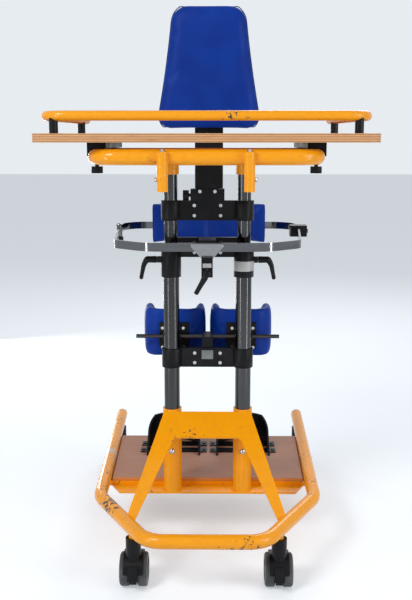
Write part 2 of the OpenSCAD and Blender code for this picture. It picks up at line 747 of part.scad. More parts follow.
rod_y = post_y + rod_back;
knee_block_w = 26;
module knee_collars() color("#1c1c1f") difference() {
    at_posts() at_level(knee_z) cylinder(d = collar_d, h = web_h);
    at_posts() at_level(knee_z - over) cylinder(d = lower_d + fit * 2, h = web_h + over * 2);
}
module knee_bracket() color("#1c1c1f") difference() {
    union() {
        translate([-post_x, post_y - bracket_t / 2, knee_z]) cube([post_gap, bracket_t, web_h]);
        translate([-knee_block_w / 2, post_y, knee_z])
            cube([knee_block_w, rod_back + rod_d * 1.2, rod_z + rod_d - knee_z]);
    }
    at_posts() at_level(knee_z - over) cylinder(d = collar_d, h = web_h + over * 2);
    translate([-rod_len / 2, rod_y, rod_z]) along_x(rod_d, rod_len);
}
module knee_screws() color("silver") web_screws(knee_z);
module knee_rod() color("silver") translate([-rod_len / 2, rod_y, rod_z]) along_x(rod_d, rod_len);

knee_plate_t = 5;
boss_d = 20;
boss_w = 44;
boss_out = 6;
plate_y = rod_y + boss_d / 2;
knee_pad_rise = 5;
knee_in = 3;
knee_pad_z = rod_z + knee_pad_rise - knee_h / 2;
knee_x = post_x - knee_in;
module knee_cup() color("#1c1c1f") difference() {
    union() {
        translate([knee_x + boss_out - boss_w / 2, rod_y, rod_z]) along_x(boss_d, boss_w);
        translate([knee_x + boss_out - boss_w / 2, rod_y, rod_z - boss_d / 2])
            cube([boss_w, boss_d / 2 + knee_plate_t, boss_d]);
        translate([knee_x - knee_plate_w / 2, plate_y, rod_z - knee_plate_h / 2])
            cube([knee_plate_w, knee_plate_t, knee_plate_h]);
    }
    translate([0, rod_y, rod_z]) along_x(rod_d + fit * 2, rod_len);
}

// A knee pad is a plain upright solid whose plan follows a U, open to the rear
knee_bend = 25;
knee_half = 63;
function knee_path(s) = let (a = knee_half - knee_bend, arc = knee_bend * PI / 2, m = abs(s),
    q = (m - a) / knee_bend * 180 / PI)
    m <= a ? [s, 0] : m <= a + arc ? [sign(s) * (a + knee_bend * sin(q)), knee_bend * (1 - cos(q))]
    : [sign(s) * knee_half, knee_bend + m - a - arc];
knee_path_half = knee_half - knee_bend + knee_bend * PI / 2 + knee_deep - knee_t / 2 - knee_bend;
knee_steps = 26;
knee_curve = function (t) knee_path(t * knee_path_half);
knee_half_t = function (t) part_way(knee_t, t > 0 ? outer_wing_t : inner_wing_t, pow(t, 4)) / 2;
module knee_pad() color("#0f3fa0")
    translate([knee_x, plate_y + knee_plate_t + soft_gap + knee_t / 2, knee_pad_z])
    linear_extrude(knee_h) polygon(band_outline(knee_curve, knee_half_t, knee_steps));

// Hip hoop

clamp_x = hoop_w / 2;
clamp_y = post_y + clamp_back;
rear_band_y = post_y + hoop_back;
knuckle_d = 16;
knuckle_h = 10;
hinge_pin_d = 6;
gate_knuckle_h = 10;
latch_w = 45;
latch_deep = 40;
latch_h = 30;
latch_slot = 15;
band_play = 1;
band_half = (band_t + lap_grow) / 2;
hoop_bend = 45;
hoop_front_bend = 90;
front_band_y = post_y - hoop_front_y;
bend_ahead = 10;
bend_y = post_y - bend_ahead;
hinge_gap = knuckle_d / 2 + slip * 2;
front_path = [[-clamp_x, clamp_y - hinge_gap], [-hoop_bend_w / 2, bend_y],
    [-hoop_front_w / 2, front_band_y], [hoop_front_w / 2, front_band_y],
    [hoop_bend_w / 2, bend_y], [clamp_x, clamp_y - latch_deep / 2]];
module band_section() square([band_t + $grow, band_h + $grow], center = true);
module front_hoop() color("silver") at_level(hoop_z)
    sweep_plan(front_path, [0, hoop_bend, hoop_front_bend, hoop_front_bend, hoop_bend, 0])
        band_section();

module knuckle(low, h, side) {
    at_level(low) cylinder(d = knuckle_d, h = h);
    translate([-band_t / 2, side > 0 ? 0 : -hinge_gap, low]) cube([band_t, hinge_gap, h]);
}
base_knuckle_low = hoop_z - gate_knuckle_h / 2 - slip - knuckle_h;
base_knuckle_high = hoop_z + gate_knuckle_h / 2 + slip;
module hoop_hinge() color("silver") translate([-clamp_x, clamp_y, 0]) {
    knuckle(base_knuckle_low, knuckle_h, -1);
    knuckle(base_knuckle_high, knuckle_h, -1);
    at_level(base_knuckle_low) cylinder(d = hinge_pin_d, h = base_knuckle_high - base_knuckle_low + over);
}
module latch_box() color("#17171a") difference() {
    translate([clamp_x, clamp_y, hoop_z]) cube([latch_w, latch_deep, latch_h], center = true);
    translate([clamp_x - band_t / 2 - band_play, clamp_y + latch_deep / 2 - latch_slot,
        hoop_z - band_h / 2 - band_play])
        cube([band_t + band_play * 2, latch_slot + over, band_h + band_play * 2]);
    translate([clamp_x + latch_w / 2 - tongue_pin, clamp_y - latch_deep / 4, hoop_z])
        along_x(hinge_pin_d + fit * 2, tongue_pin + over);
}
tongue_pin = 10;
tongue_t = 3;
tongue_w = 12;
tongue_len = 44;
module latch_tongue() color("silver")
    translate([clamp_x + latch_w / 2 + slip, clamp_y - latch_deep / 4, hoop_z]) {
        translate([slip - tongue_pin, 0, 0]) along_x(hinge_pin_d, tongue_pin);
        along_x(tongue_w, tongue_t);
        translate([0, 0, -tongue_w / 2]) cube([tongue_t, tongue_len, tongue_w]);
    }

arm_block_w = 40;
arm_block_h = 32;
clamp_block_w = 26;
clamp_block_h = 46;
clamp_block_deep = 16;
block_lap = 5;
v_plate_t = 3;
v_plate_w = 74;
v_plate_h = 34;
v_shoulder = 0.8;
plate_drop = 16;
v_plate_z = hoop_z - band_h / 2 - plate_drop;
clamp_block_y = front_band_y - band_half - v_plate_t - clamp_block_deep;
clamp_block_z = v_plate_z + block_lap - clamp_block_h;
hoop_lever_up = 11;
// The arm carries the hoop's front from the hip bracket's web
module hoop_arm() color("#1c1c1f") difference() {
    union() {
        translate([-arm_block_w / 2, front_band_y + band_half, hoop_z - arm_block_h / 2])
            cube([arm_block_w, hoop_front_y - band_half - bracket_t / 2, arm_block_h]);
        translate([-clamp_block_w / 2, clamp_block_y, clamp_block_z])
            cube([clamp_block_w, clamp_block_deep, clamp_block_h]);
    }
    translate([0, clamp_block_y - over, clamp_block_z + hoop_lever_up])
        along_y(knob_stem_d + fit * 2, knob_seat + over);
}
module clamp_plate() color("silver") translate([0, front_band_y - band_half, v_plate_z])
    rotate([90, 0, 0]) linear_extrude(v_plate_t)
        polygon([[-clamp_block_w / 2, 0], [clamp_block_w / 2, 0],
            [v_plate_w / 2, v_plate_h * v_shoulder], [v_plate_w / 2, v_plate_h],
            [-v_plate_w / 2, v_plate_h], [-v_plate_w / 2, v_plate_h * v_shoulder]]);
module hoop_lever() color("#141416")
    translate([0, clamp_block_y - slip, clamp_block_z + hoop_lever_up]) {
        along_y(knob_stem_d, knob_seat - slip);
        rotate([180, 0, 0]) along_y(hub_d, hub_w);
        translate([0, -hub_w + grip_d / 2, 0]) hull() {
            sphere(d = grip_d, $fn = 24);
            translate([-lever_arm * 0.6, -grip_d / 2, -lever_arm]) sphere(d = grip_d * ball_share, $fn = 24);
        }
    }

// The gate closes the hoop behind the user and carries the hip pad and the back support
gate_bend = 65;
gate_path = [[-clamp_x, clamp_y + hinge_gap], [-clamp_x, rear_band_y], [clamp_x, rear_band_y],
    [clamp_x, clamp_y + latch_deep / 2 - latch_slot + band_play]];
module hoop_gate() color("silver") {
    at_level(hoop_z) sweep_plan(gate_path, [0, gate_bend, gate_bend, 0]) band_section();
    difference() {
        translate([-clamp_x, clamp_y, 0]) knuckle(hoop_z - gate_knuckle_h / 2, gate_knuckle_h, 1);
        translate([-clamp_x, clamp_y, hoop_z - gate_knuckle_h])
            cylinder(d = hinge_pin_d + fit * 2, h = gate_knuckle_h * 2);
    }
}
bracket_front_t = 8;
bar_gap = 6;
bar_y = rear_band_y - band_half - bar_gap - bar_t;
bracket_w = 104;
bracket_below = 40;
bracket_above = 43;
bracket_low = hoop_z - bracket_below;
bracket_high = hoop_z + bracket_above;
module back_bracket() color("#1c1c1f") difference() {
    translate([-bracket_w / 2, bar_y - bracket_front_t, bracket_low])
        cube([bracket_w, rear_band_y - band_half - bar_y + bracket_front_t, bracket_high - bracket_low]);
    translate([-bar_w / 2 - fit, bar_y - fit, bracket_low - over])
        cube([bar_w + fit * 2, bar_t + fit * 2, bracket_high - bracket_low + over * 2]);
    translate([0, bar_y + bar_t - over, bracket_high - back_knob_drop])
        along_y(knob_stem_d + fit * 2, bracket_front_t * 2);
}
back_knob_drop = 14;
back_knob_seat = 5;
module back_knob() color("#141416")
    translate([0, rear_band_y - band_half, bracket_high - back_knob_drop])
        rotate([90, 0, 0]) {
            at_level(-knob_neck - slip) cylinder(d = knob_stem_d, h = knob_neck + back_knob_seat);
            at_level(-knob_neck - knob_h) cylinder(d = knob_d, h = knob_h);
        }
// The hip pad is a plain upright solid: a curved plan with a channel down the middle of its front
hip_mid_y = bar_y - bracket_front_t - soft_gap - hip_t / 2;
hip_pad_rise = 14;
wing_power = 2.6;
hip_steps = 16;
channel_d = 24;
channel_depth = 7;
hip_end = hip_t / 3;
hip_curve = function (t)
    [t * (hip_w / 2 - hip_end), -(hip_wing - hip_end) * pow(abs(t), wing_power)];
hip_half_t = function (t) hip_t / 2;
module hip_pad() color("#0f3fa0") translate([0, hip_mid_y, hoop_z + hip_pad_rise - hip_h / 2])
    linear_extrude(hip_h) difference() {
        polygon(band_outline(hip_curve, hip_half_t, hip_steps));
        translate([0, channel_depth - (hip_t + channel_d) / 2]) circle(d = channel_d);
    }

bar_low = 655;
bar_high = 1290;
back_plate_t = 5;
back_plate_w = 190;
back_plate_h = 220;
back_stand = 24.5;
back_pad_y = bar_y - back_stand;
module back_column() color("#1c1c1f") {
    translate([-bar_w / 2, bar_y, bar_low]) cube([bar_w, bar_t, bar_high - bar_low]);
    translate([-back_plate_w / 2, back_pad_y + soft_gap, back_z + back_h / 2 - back_plate_h / 2])
        cube([back_plate_w, back_plate_t, back_plate_h]);
    for (z = [-1, 1]) translate([-bar_w / 4, back_pad_y + soft_gap + back_plate_t,
        back_z + back_h / 2 + z * back_plate_h / 3 - bar_w / 4])
        cube([bar_w / 2, bar_y - back_pad_y - soft_gap - back_plate_t, bar_w / 2]);
}
module back_pad() color("#0f3fa0") translate([0, back_pad_y, back_z]) rotate([90, 0, 0])
    linear_extrude(back_t) polygon(round_outline([[-back_low_w / 2, 0], [back_low_w / 2, 0],
        [back_high_w / 2, back_h], [-back_high_w / 2, back_h]],
        [back_corner, back_corner, back_corner, back_corner]));

base_frame();
tube_caps();
footboard_frame();
footboard();
footboard_screws();
mirror([1, 0, 0]) heel_cup();  // heel_cup_left
heel_cup();  // heel_cup_right
post_sleeves();
sleeve_bolts();
brace_plate();
lower_posts();
hip_bracket();
hoop_arm();
clamp_plate();
front_hoop();
hoop_hinge();
latch_box();
mirror([1, 0, 0]) translate(front_castor) castor_hood(trail);  // castor_hood_front_left
translate(front_castor) castor_hood(trail);  // castor_hood_front_right
mirror([1, 0, 0]) translate(rear_castor) castor_hood(trail);  // castor_hood_rear_left
translate(rear_castor) castor_hood(trail);  // castor_hood_rear_right
mirror([1, 0, 0]) translate(front_castor) castor_wheels(trail);  // castor_wheels_front_left
translate(front_castor) castor_wheels(trail);  // castor_wheels_front_right
mirror([1, 0, 0]) translate(rear_castor) castor_wheels(trail);  // castor_wheels_rear_left
translate(rear_castor) castor_wheels(trail);  // castor_wheels_rear_right
mirror([1, 0, 0]) translate(front_castor) castor_tyres(trail);  // castor_tyres_front_left
translate(front_castor) castor_tyres(trail);  // castor_tyres_front_right
mirror([1, 0, 0]) translate(rear_castor) castor_tyres(trail);  // castor_tyres_rear_left
translate(rear_castor) castor_tyres(trail);  // castor_tyres_rear_right
mirror([1, 0, 0]) translate(front_castor) brake_tab();  // brake_tab_left
translate(front_castor) brake_tab();  // brake_tab_right
mirror([1, 0, 0]) clamp_lever();  // clamp_lever_left
clamp_lever();  // clamp_lever_right
hoop_lever();
latch_tongue();
hoop_gate();
back_bracket();
hip_pad();
back_column();
back_pad();
back_knob();
upper_posts();
chest_bracket();
upper_screws();
chest_knob();
tray_frame();
mirror([1, 0, 0]) tray_knob();  // tray_knob_left
tray_knob();  // tray_knob_right
tray_board();
tray_slides();
tray_rail();
rail_standoffs();
knee_collars();
knee_bracket();
knee_screws();
knee_rod();
mirror([1, 0, 0]) knee_cup();  // knee_cup_left
knee_cup();  // knee_cup_right
mirror([1, 0, 0]) knee_pad();  // knee_pad_left
knee_pad();  // knee_pad_right
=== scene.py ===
# %% [markdown]
# # A child's standing frame, dressed for a studio picture
# The metalwork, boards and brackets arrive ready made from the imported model, so this lesson gives
# them their finishes. The pads, pipings and small fittings are modelled here, on top of that frame.
# Everything is in metres, with +Z up and -Y towards the camera.

# %% Load the frame
import math

import bpy
from mathutils import Matrix, Vector
from mathutils.bvhtree import BVHTree


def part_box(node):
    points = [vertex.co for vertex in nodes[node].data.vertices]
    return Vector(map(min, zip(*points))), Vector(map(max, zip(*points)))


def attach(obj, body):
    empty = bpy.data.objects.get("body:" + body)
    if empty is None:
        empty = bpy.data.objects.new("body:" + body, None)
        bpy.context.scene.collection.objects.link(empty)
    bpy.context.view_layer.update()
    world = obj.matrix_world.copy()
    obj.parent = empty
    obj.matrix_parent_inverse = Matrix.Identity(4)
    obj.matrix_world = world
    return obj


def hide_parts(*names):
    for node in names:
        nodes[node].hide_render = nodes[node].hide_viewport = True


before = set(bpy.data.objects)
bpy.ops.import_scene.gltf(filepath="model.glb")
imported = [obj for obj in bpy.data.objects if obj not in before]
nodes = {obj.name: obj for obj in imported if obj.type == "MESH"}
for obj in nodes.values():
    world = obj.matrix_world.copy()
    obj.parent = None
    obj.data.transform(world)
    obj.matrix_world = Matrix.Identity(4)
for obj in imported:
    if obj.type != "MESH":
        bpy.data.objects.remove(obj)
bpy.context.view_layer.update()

# %% [markdown]
# ## The camera
# The photograph is seen almost straight on, from just under a metre high. Its short side is across,
# so the focal length is worked out for a 36 mm long side that stands for 600 pixels. A slight turn
# to the left puts the point where the rails would meet a little right of the middle.

# %% Camera
LONG_SIDE_PX = 600
FOCAL_PX = 850
SENSOR_MM = 36
CAMERA_PLACE = (0.0195, -2.118, 0.986)
CAMERA_DOWN = math.radians(10.66)
CAMERA_TURN = math.radians(0.654)

bpy.ops.object.select_all(action="DESELECT")
bpy.ops.object.camera_add(location=CAMERA_PLACE,
                          rotation=(math.pi / 2 - CAMERA_DOWN, 0, CAMERA_TURN))
camera = bpy.context.active_object
camera.data.sensor_width = SENSOR_MM
camera.data.lens = FOCAL_PX / LONG_SIDE_PX * SENSOR_MM
bpy.context.scene.camera = camera
print("lens:", round(camera.data.lens, 1), "mm")

# %% [markdown]
# ## Floor, sky and lamps
# A pale floor runs far back, and the world behind it is the same pale tone to the camera and in
# reflections. The world's own light stays lower than that, so that colours render as written.

# %% Sky
BACKDROP = (0.80, 0.84, 0.88, 1)
SKY_LIGHT = 0.42


def light_path_mix(tree, plain, shown):
    """Value that is `shown` to the camera and in reflections, and `plain` for the light itself."""
    path = tree.nodes.new("ShaderNodeLightPath")
    seen = path.outputs["Is Camera Ray"]
    for ray in ("Is Glossy Ray", "Is Transmission Ray"):
        either = tree.nodes.new("ShaderNodeMath")
        either.operation = "MAXIMUM"
        tree.links.new(seen, either.inputs[0])
        tree.links.new(path.outputs[ray], either.inputs[1])
        seen = either.outputs[0]
    mix = tree.nodes.new("ShaderNodeMapRange")
    mix.inputs["To Min"].default_value = plain
    mix.inputs["To Max"].default_value = shown
    tree.links.new(seen, mix.inputs["Value"])
    return mix.outputs["Result"]


world = bpy.data.worlds.new("studio")
bpy.context.scene.world = world
world.use_nodes = True
sky = world.node_tree.nodes["Background"]
sky.inputs["Color"].default_value = BACKDROP
world.node_tree.links.new(light_path_mix(world.node_tree, SKY_LIGHT, 1), sky.inputs["Strength"])
print("sky light:", SKY_LIGHT)

# %% [markdown]
# **The floor.** It is a matt plane that keeps the object's shadow. A little emission, which only
# the camera and reflections see, lifts it towards the tone of the sky.

# %% Floor
FLOOR_TONE = (0.74, 0.77, 0.80, 1)
FLOOR_SIZE = 30
FLOOR_BACK = 8
FLOOR_LIFT = 0.42
bpy.ops.mesh.primitive_plane_add(size=FLOOR_SIZE, location=(0, FLOOR_BACK, 0))
floor = bpy.context.active_object
floor.name = "floor"
floor_finish = bpy.data.materials.new("floor_finish")
floor_finish.use_nodes = True
floor_shader = floor_finish.node_tree.nodes["Principled BSDF"]
floor_shader.inputs["Base Color"].default_value = FLOOR_TONE
floor_shader.inputs["Roughness"].default_value = 0.85
floor_shader.inputs["Specular IOR Level"].default_value = 0.1
floor_shader.inputs["Emission Color"].default_value = BACKDROP
floor_finish.node_tree.links.new(light_path_mix(floor_finish.node_tree, 0, FLOOR_LIFT),
                                 floor_shader.inputs["Emission Strength"])
floor.data.materials.append(floor_finish)
print("floor:", FLOOR_SIZE, "m across")

# %% [markdown]
# **Lamps.** A wide lamp from the upper left models the forms, a second one fills the right and a
# third lights the rear. Three tall narrow strips, which the camera doesn't see, give the tubes
# their long bright lines.

# %% Lamps
LAMPS = (("key_lamp", (-1.9, -2.4, 2.9), (0, 0, 0.7), 1.1, 62),
         ("fill_lamp", (2.4, -1.8, 1.6), (0, 0, 0.7), 1.6, 22),
         ("rear_lamp", (0.8, 2.6, 2.6), (0, 0, 0.8), 1.4, 30))
STRIPS = (("left_strip", (-1.5, -1.5, 0.55), 5), ("right_strip", (1.6, -1.2, 0.55), 5),
          ("rear_strip", (-1.1, 2.0, 0.55), 7))
STRIP_AIM = (0, 0, 0.55)
STRIP_WIDE, STRIP_TALL = 0.10, 1.1


def lamp(name, place, aim, size, power):
    """A square soft lamp at a place, turned towards the point that it lights."""
    bpy.ops.object.light_add(type="AREA", location=place)
    made = bpy.context.active_object
    made.name = name
    made.data.size = size
    made.data.energy = power
    made.rotation_euler = (Vector(aim) - Vector(place)).to_track_quat("-Z", "Y").to_euler()
    return made


for name, place, aim, size, power in LAMPS:
    lamp(name, place, aim, size, power)
for name, place, power in STRIPS:
    strip = lamp(name, place, STRIP_AIM, STRIP_WIDE, power)
    strip.data.shape = "RECTANGLE"
    strip.data.size_y = STRIP_TALL
    strip.visible_camera = False
bpy.context.scene.view_settings.view_transform = "Standard"
print("lamps:", len(LAMPS), "wide,", len(STRIPS), "narrow")

# %% [markdown]
# ## Shared effects
# Wear, grain and grime come back in many finishes, so each is a node group with named inputs, built
# once. A group gives only masks and heights. The shader itself stays in every material.

# %% Node group helpers


def new_group(name, inputs, outputs):
    """An empty shader node group; inputs are (name, default) and outputs are names."""
    group = bpy.data.node_groups.new(name, "ShaderNodeTree")
    for label, default in inputs:
        socket = group.interface.new_socket(label, in_out="INPUT", socket_type="NodeSocketFloat")
        socket.default_value = default
    for label in outputs:
        group.interface.new_socket(label, in_out="OUTPUT", socket_type="NodeSocketFloat")
    return group, group.nodes.new("NodeGroupInput"), group.nodes.new("NodeGroupOutput")


def add(tree, kind, links=None, **values):
    """A node with its settings; links maps an input's name to what feeds it or to its value."""
    node = tree.nodes.new(kind)
    for key, value in values.items():
        setattr(node, key, value)
    for key, source in (links or {}).items():
        if isinstance(source, bpy.types.NodeSocket):
            tree.links.new(source, node.inputs[key])
        else:
            node.inputs[key].default_value = source
    return node


def object_place(tree, scale=(1, 1, 1)):
    """Object coordinates, stretched along the axes."""
    place = add(tree, "ShaderNodeTexCoord")
    return add(tree, "ShaderNodeMapping", {"Vector": place.outputs["Object"],
                                           "Scale": scale}).outputs["Vector"]


def calc(tree, operation, a, b=0.0, clamp=False):
    """Result of one Math node."""
    node = add(tree, "ShaderNodeMath", {0: a, 1: b}, operation=operation)
    node.use_clamp = clamp
    return node.outputs[0]


def ramp(tree, value, low, high, to_low=0.0, to_high=1.0):
    """Maps low..high onto to_low..to_high, smoothly and within its ends."""
    return add(tree, "ShaderNodeMapRange",
               {"Value": value, "From Min": low, "From Max": high, "To Min": to_low,
                "To Max": to_high}, interpolation_type="SMOOTHSTEP").outputs["Result"]


print("node group helpers ready")

# %% [markdown]
# **Chips and scuffs.** Powder coat chips in small hard-edged flakes. Two noises, one deciding where
# the knocks are and one giving each flake its ragged edge, read more like damage than one does.

# %% Chip group
chips, chips_in, chips_out = new_group("chips", [("Scale", 60), ("Amount", 0.3)],
                                       ["Chips", "Scuffs"])
where = add(chips, "ShaderNodeTexNoise", {"Vector": object_place(chips), "Scale": 7, "Detail": 2})
edge = add(chips, "ShaderNodeTexNoise", {"Vector": object_place(chips), "Detail": 5,
                                         "Roughness": 0.7})
chips.links.new(chips_in.outputs["Scale"], edge.inputs["Scale"])
threshold = calc(chips, "SUBTRACT", 0.80, calc(chips, "MULTIPLY", chips_in.outputs["Amount"], 0.35))
knock = calc(chips, "MULTIPLY", calc(chips, "ADD", where.outputs["Fac"], edge.outputs["Fac"]), 0.62)
above = calc(chips, "SUBTRACT", knock, threshold)
chips.links.new(calc(chips, "MULTIPLY", above, 60, clamp=True), chips_out.inputs["Chips"])
streaks = add(chips, "ShaderNodeTexNoise", {"Vector": object_place(chips, (9, 9, 60)), "Scale": 9,
                                            "Detail": 6})
chips.links.new(ramp(chips, streaks.outputs["Fac"], 0.45, 0.75), chips_out.inputs["Scuffs"])
print("chips:", len(chips.nodes), "nodes")

# %% [markdown]
# **Moulded grain.** Black castings and plastic have an orange-peel skin. A fine Voronoi pattern
# over a slow noise gives a height for the bump and a mask for patches rubbed shiny.

# %% Skin group
skin, skin_in, skin_out = new_group("skin", [("Scale", 900)], ["Height", "Rubbed"])
cells = add(skin, "ShaderNodeTexVoronoi", {"Vector": object_place(skin)})
skin.links.new(skin_in.outputs["Scale"], cells.inputs["Scale"])
slow = add(skin, "ShaderNodeTexNoise", {"Vector": object_place(skin), "Scale": 24, "Detail": 4})
skin.links.new(calc(skin, "ADD", cells.outputs["Distance"], slow.outputs["Fac"]),
               skin_out.inputs["Height"])
skin.links.new(ramp(skin, slow.outputs["Fac"], 0.42, 0.7), skin_out.inputs["Rubbed"])
print("skin:", len(skin.nodes), "nodes")

# %% [markdown]
# **Wood grain.** A wave pattern that a noise bends gives the cathedral lines of sliced veneer. The
# same group gives the fine pores, long in X and thin in Y.

# %% Grain group
grain, grain_in, grain_out = new_group("grain", [("Scale", 6)], ["Lines", "Pores"])
wave = add(grain, "ShaderNodeTexWave", {"Vector": object_place(grain, (0.6, 5, 5)),
                                        "Distortion": 7, "Detail": 3, "Detail Scale": 1.2},
           bands_direction="Y")
grain.links.new(grain_in.outputs["Scale"], wave.inputs["Scale"])
pores = add(grain, "ShaderNodeTexNoise", {"Vector": object_place(grain, (14, 420, 420)),
                                          "Scale": 2.2, "Detail": 4, "Roughness": 0.65})
grain.links.new(wave.outputs["Fac"], grain_out.inputs["Lines"])
grain.links.new(pores.outputs["Fac"], grain_out.inputs["Pores"])
print("grain:", len(grain.nodes), "nodes")

# %% [markdown]
# ## Material helpers
# Every finish starts as a Principled shader. These helpers place a group in it, blend two colours
# by a mask and turn a height into a bump, so that each finish below reads as a short recipe.

# %% Material helpers


def finish(name):
    """A new material with its tree and its Principled shader."""
    made = bpy.data.materials.new(name)
    made.use_nodes = True
    return made, made.node_tree, made.node_tree.nodes["Principled BSDF"]


def group(tree, source, **values):
    """A shared group placed in a material, with its own values."""
    node = tree.nodes.new("ShaderNodeGroup")
    node.node_tree = source
    for key, value in values.items():
        node.inputs[key].default_value = value
    return node


def blend_colours(tree, share, first, second):
    """Colour that goes from first to second as share goes from 0 to 1."""
    mix = add(tree, "ShaderNodeMix", data_type="RGBA")
    for index, source in ((0, share), (6, first), (7, second)):
        if isinstance(source, bpy.types.NodeSocket):
            tree.links.new(source, mix.inputs[index])
        else:
            mix.inputs[index].default_value = source
    return mix.outputs[2]


def bump(tree, shader, height, strength, distance):
    """Feeds a height through a Bump node to the shader's normal."""
    node = add(tree, "ShaderNodeBump", {"Height": height, "Strength": strength,
                                        "Distance": distance})
    tree.links.new(node.outputs["Normal"], shader.inputs["Normal"])


print("material helpers ready")

# %% [markdown]
# ## Yellow powder coat
# The frame is glossy yellow-orange, a little darker where hands and shoes rub it. Chips show dark
# primer, more of them on the base than above. The left rail has a pale scraped band, which is
# masked by where it lies.

# %% Yellow paint
YELLOW = (0.95, 0.370, 0.002, 1)
YELLOW_RUBBED = (0.86, 0.29, 0.002, 1)
PRIMER = (0.05, 0.038, 0.03, 1)
SCRAPED = (0.55, 0.50, 0.42, 1)
SCRAPE_X, SCRAPE_Y = -0.262, 0.075
SCRAPE_HALF, SCRAPE_SOLID = 0.020, 0.012


def yellow_paint(name, amount, scrape=False):
    """Powder coat with an amount of chips, and the scraped band where it is asked for."""
    made, tree, shader = finish(name)
    wear = group(tree, chips, Scale=95, Amount=amount)
    colour = blend_colours(tree, wear.outputs["Scuffs"], YELLOW, YELLOW_RUBBED)
    if scrape:
        place = add(tree, "ShaderNodeSeparateXYZ", {"Vector": object_place(tree)})
        near = calc(tree, "ABSOLUTE", calc(tree, "SUBTRACT", place.outputs["Y"], SCRAPE_Y))
        left = ramp(tree, place.outputs["X"], SCRAPE_X + 0.03, SCRAPE_X + 0.02)
        band = calc(tree, "MULTIPLY", left, ramp(tree, near, SCRAPE_HALF, SCRAPE_SOLID))
        rubbed = add(tree, "ShaderNodeTexNoise", {"Vector": object_place(tree), "Scale": 70,
                                                  "Detail": 4})
        band = calc(tree, "MULTIPLY", band, ramp(tree, rubbed.outputs["Fac"], 0.36, 0.5))
        colour = blend_colours(tree, band, colour, SCRAPED)
    colour = blend_colours(tree, wear.outputs["Chips"], colour, PRIMER)
    tree.links.new(colour, shader.inputs["Base Color"])
    tree.links.new(ramp(tree, wear.outputs["Scuffs"], 0, 1, 0.22, 0.40), shader.inputs["Roughness"])
    shader.inputs["Specular IOR Level"].default_value = 0.3
    shader.inputs["Coat Weight"].default_value = 0.12
    bump(tree, shader, calc(tree, "SUBTRACT", 1, wear.outputs["Chips"]), 0.5, 0.0004)
    return made


paint_base = yellow_paint("yellow_paint_base", 0.17, scrape=True)
paint_upper = yellow_paint("yellow_paint_upper", 0.02)
print("yellow paints:", paint_base.name, "and", paint_upper.name)

# %% [markdown]
# ## Chrome
# Chrome takes its look from what it reflects. The room of the photograph is dark, so the posts are
# toned nearly black, and the bands, the clamp plate and the screws step up from them. Thin smears
# show in the tone and the roughness.

# %% Chrome


def chrome(name, tone, streak_scale):
    """Nearly smooth metal of one tone, with smears stretched along the axes."""
    made, tree, shader = finish(name)
    smear = add(tree, "ShaderNodeTexNoise", {"Vector": object_place(tree, streak_scale),
                                             "Scale": 14, "Detail": 5})
    tree.links.new(blend_colours(tree, ramp(tree, smear.outputs["Fac"], 0.35, 0.8),
                                 (tone, tone, tone * 1.03, 1),
                                 (tone * 0.72, tone * 0.72, tone * 0.72, 1)),
                   shader.inputs["Base Color"])
    shader.inputs["Metallic"].default_value = 1
    tree.links.new(ramp(tree, smear.outputs["Fac"], 0.4, 0.8, 0.07, 0.24),
                   shader.inputs["Roughness"])
    return made


chrome_post = chrome("chrome_post", 0.08, (1, 1, 0.15))
chrome_band = chrome("chrome_band", 0.20, (1, 1, 5))
chrome_plate = chrome("chrome_plate", 0.45, (1, 1, 5))
chrome_screw = chrome("chrome_screw", 0.62, (3, 3, 3))
print("chromes:", [made.name for made in (chrome_post, chrome_band, chrome_plate, chrome_screw)])

# %% [markdown]
# ## Black castings, plastic and rubber
# The clamp brackets are satin black castings, the levers and caps are moulded plastic, and the
# castor treads are grey rubber, toned far darker as painted shade under their hoods. One recipe
# serves them all, and the small pale plates too: the skin group gives its height and its rubbed
# patches, and the tones and the gloss differ.

# %% Blacks and rubber
SKIN_DEPTH = 0.00015


def moulded(name, colour, worn, roughness, scale=900, gloss=0.5):
    """Moulded or cast skin; gloss is how much it mirrors, and scale how fine its grain is."""
    made, tree, shader = finish(name)
    shader.inputs["Specular IOR Level"].default_value = gloss
    surface = group(tree, skin, Scale=scale)
    tree.links.new(blend_colours(tree, surface.outputs["Rubbed"], colour, worn),
                   shader.inputs["Base Color"])
    tree.links.new(ramp(tree, surface.outputs["Rubbed"], 0, 1, roughness, roughness * 0.7),
                   shader.inputs["Roughness"])
    bump(tree, shader, surface.outputs["Height"], 0.35, SKIN_DEPTH)
    return made


black_casting = moulded("black_casting", (0.005, 0.005, 0.006, 1), (0.010, 0.010, 0.011, 1), 0.40,
                        gloss=0.16)
black_plastic = moulded("black_plastic", (0.004, 0.004, 0.005, 1), (0.009, 0.009, 0.010, 1), 0.34,
                        gloss=0.18)
# The tread tone is far darker than grey rubber: painted shade under the castor hoods.
tread_painted_shade = moulded("tread_painted_shade", (0.055, 0.058, 0.060, 1), (0.10, 0.105, 0.11, 1), 0.75, 500)
grey_rim = moulded("grey_rim", (0.22, 0.235, 0.24, 1), (0.32, 0.33, 0.335, 1), 0.55, 500)
light_cap = moulded("light_cap", (0.42, 0.42, 0.42, 1), (0.55, 0.55, 0.53, 1), 0.5)
bare_band = moulded("bare_band", (0.52, 0.53, 0.53, 1), (0.40, 0.41, 0.41, 1), 0.35, 300)
bare_patch = moulded("bare_patch", (0.13, 0.15, 0.155, 1), (0.20, 0.22, 0.22, 1), 0.30, 300)
print("moulded finishes:", black_casting.name, black_plastic.name, tread_painted_shade.name, grey_rim.name)

# %% [markdown]
# ## Plywood
# Both boards are plywood: a veneered face above and below, and stripes of plies at the edge.
# The face and the edge are told apart by which way the surface points, so one material does both.

# %% Plywood
PLY_ROUGH = 0.42


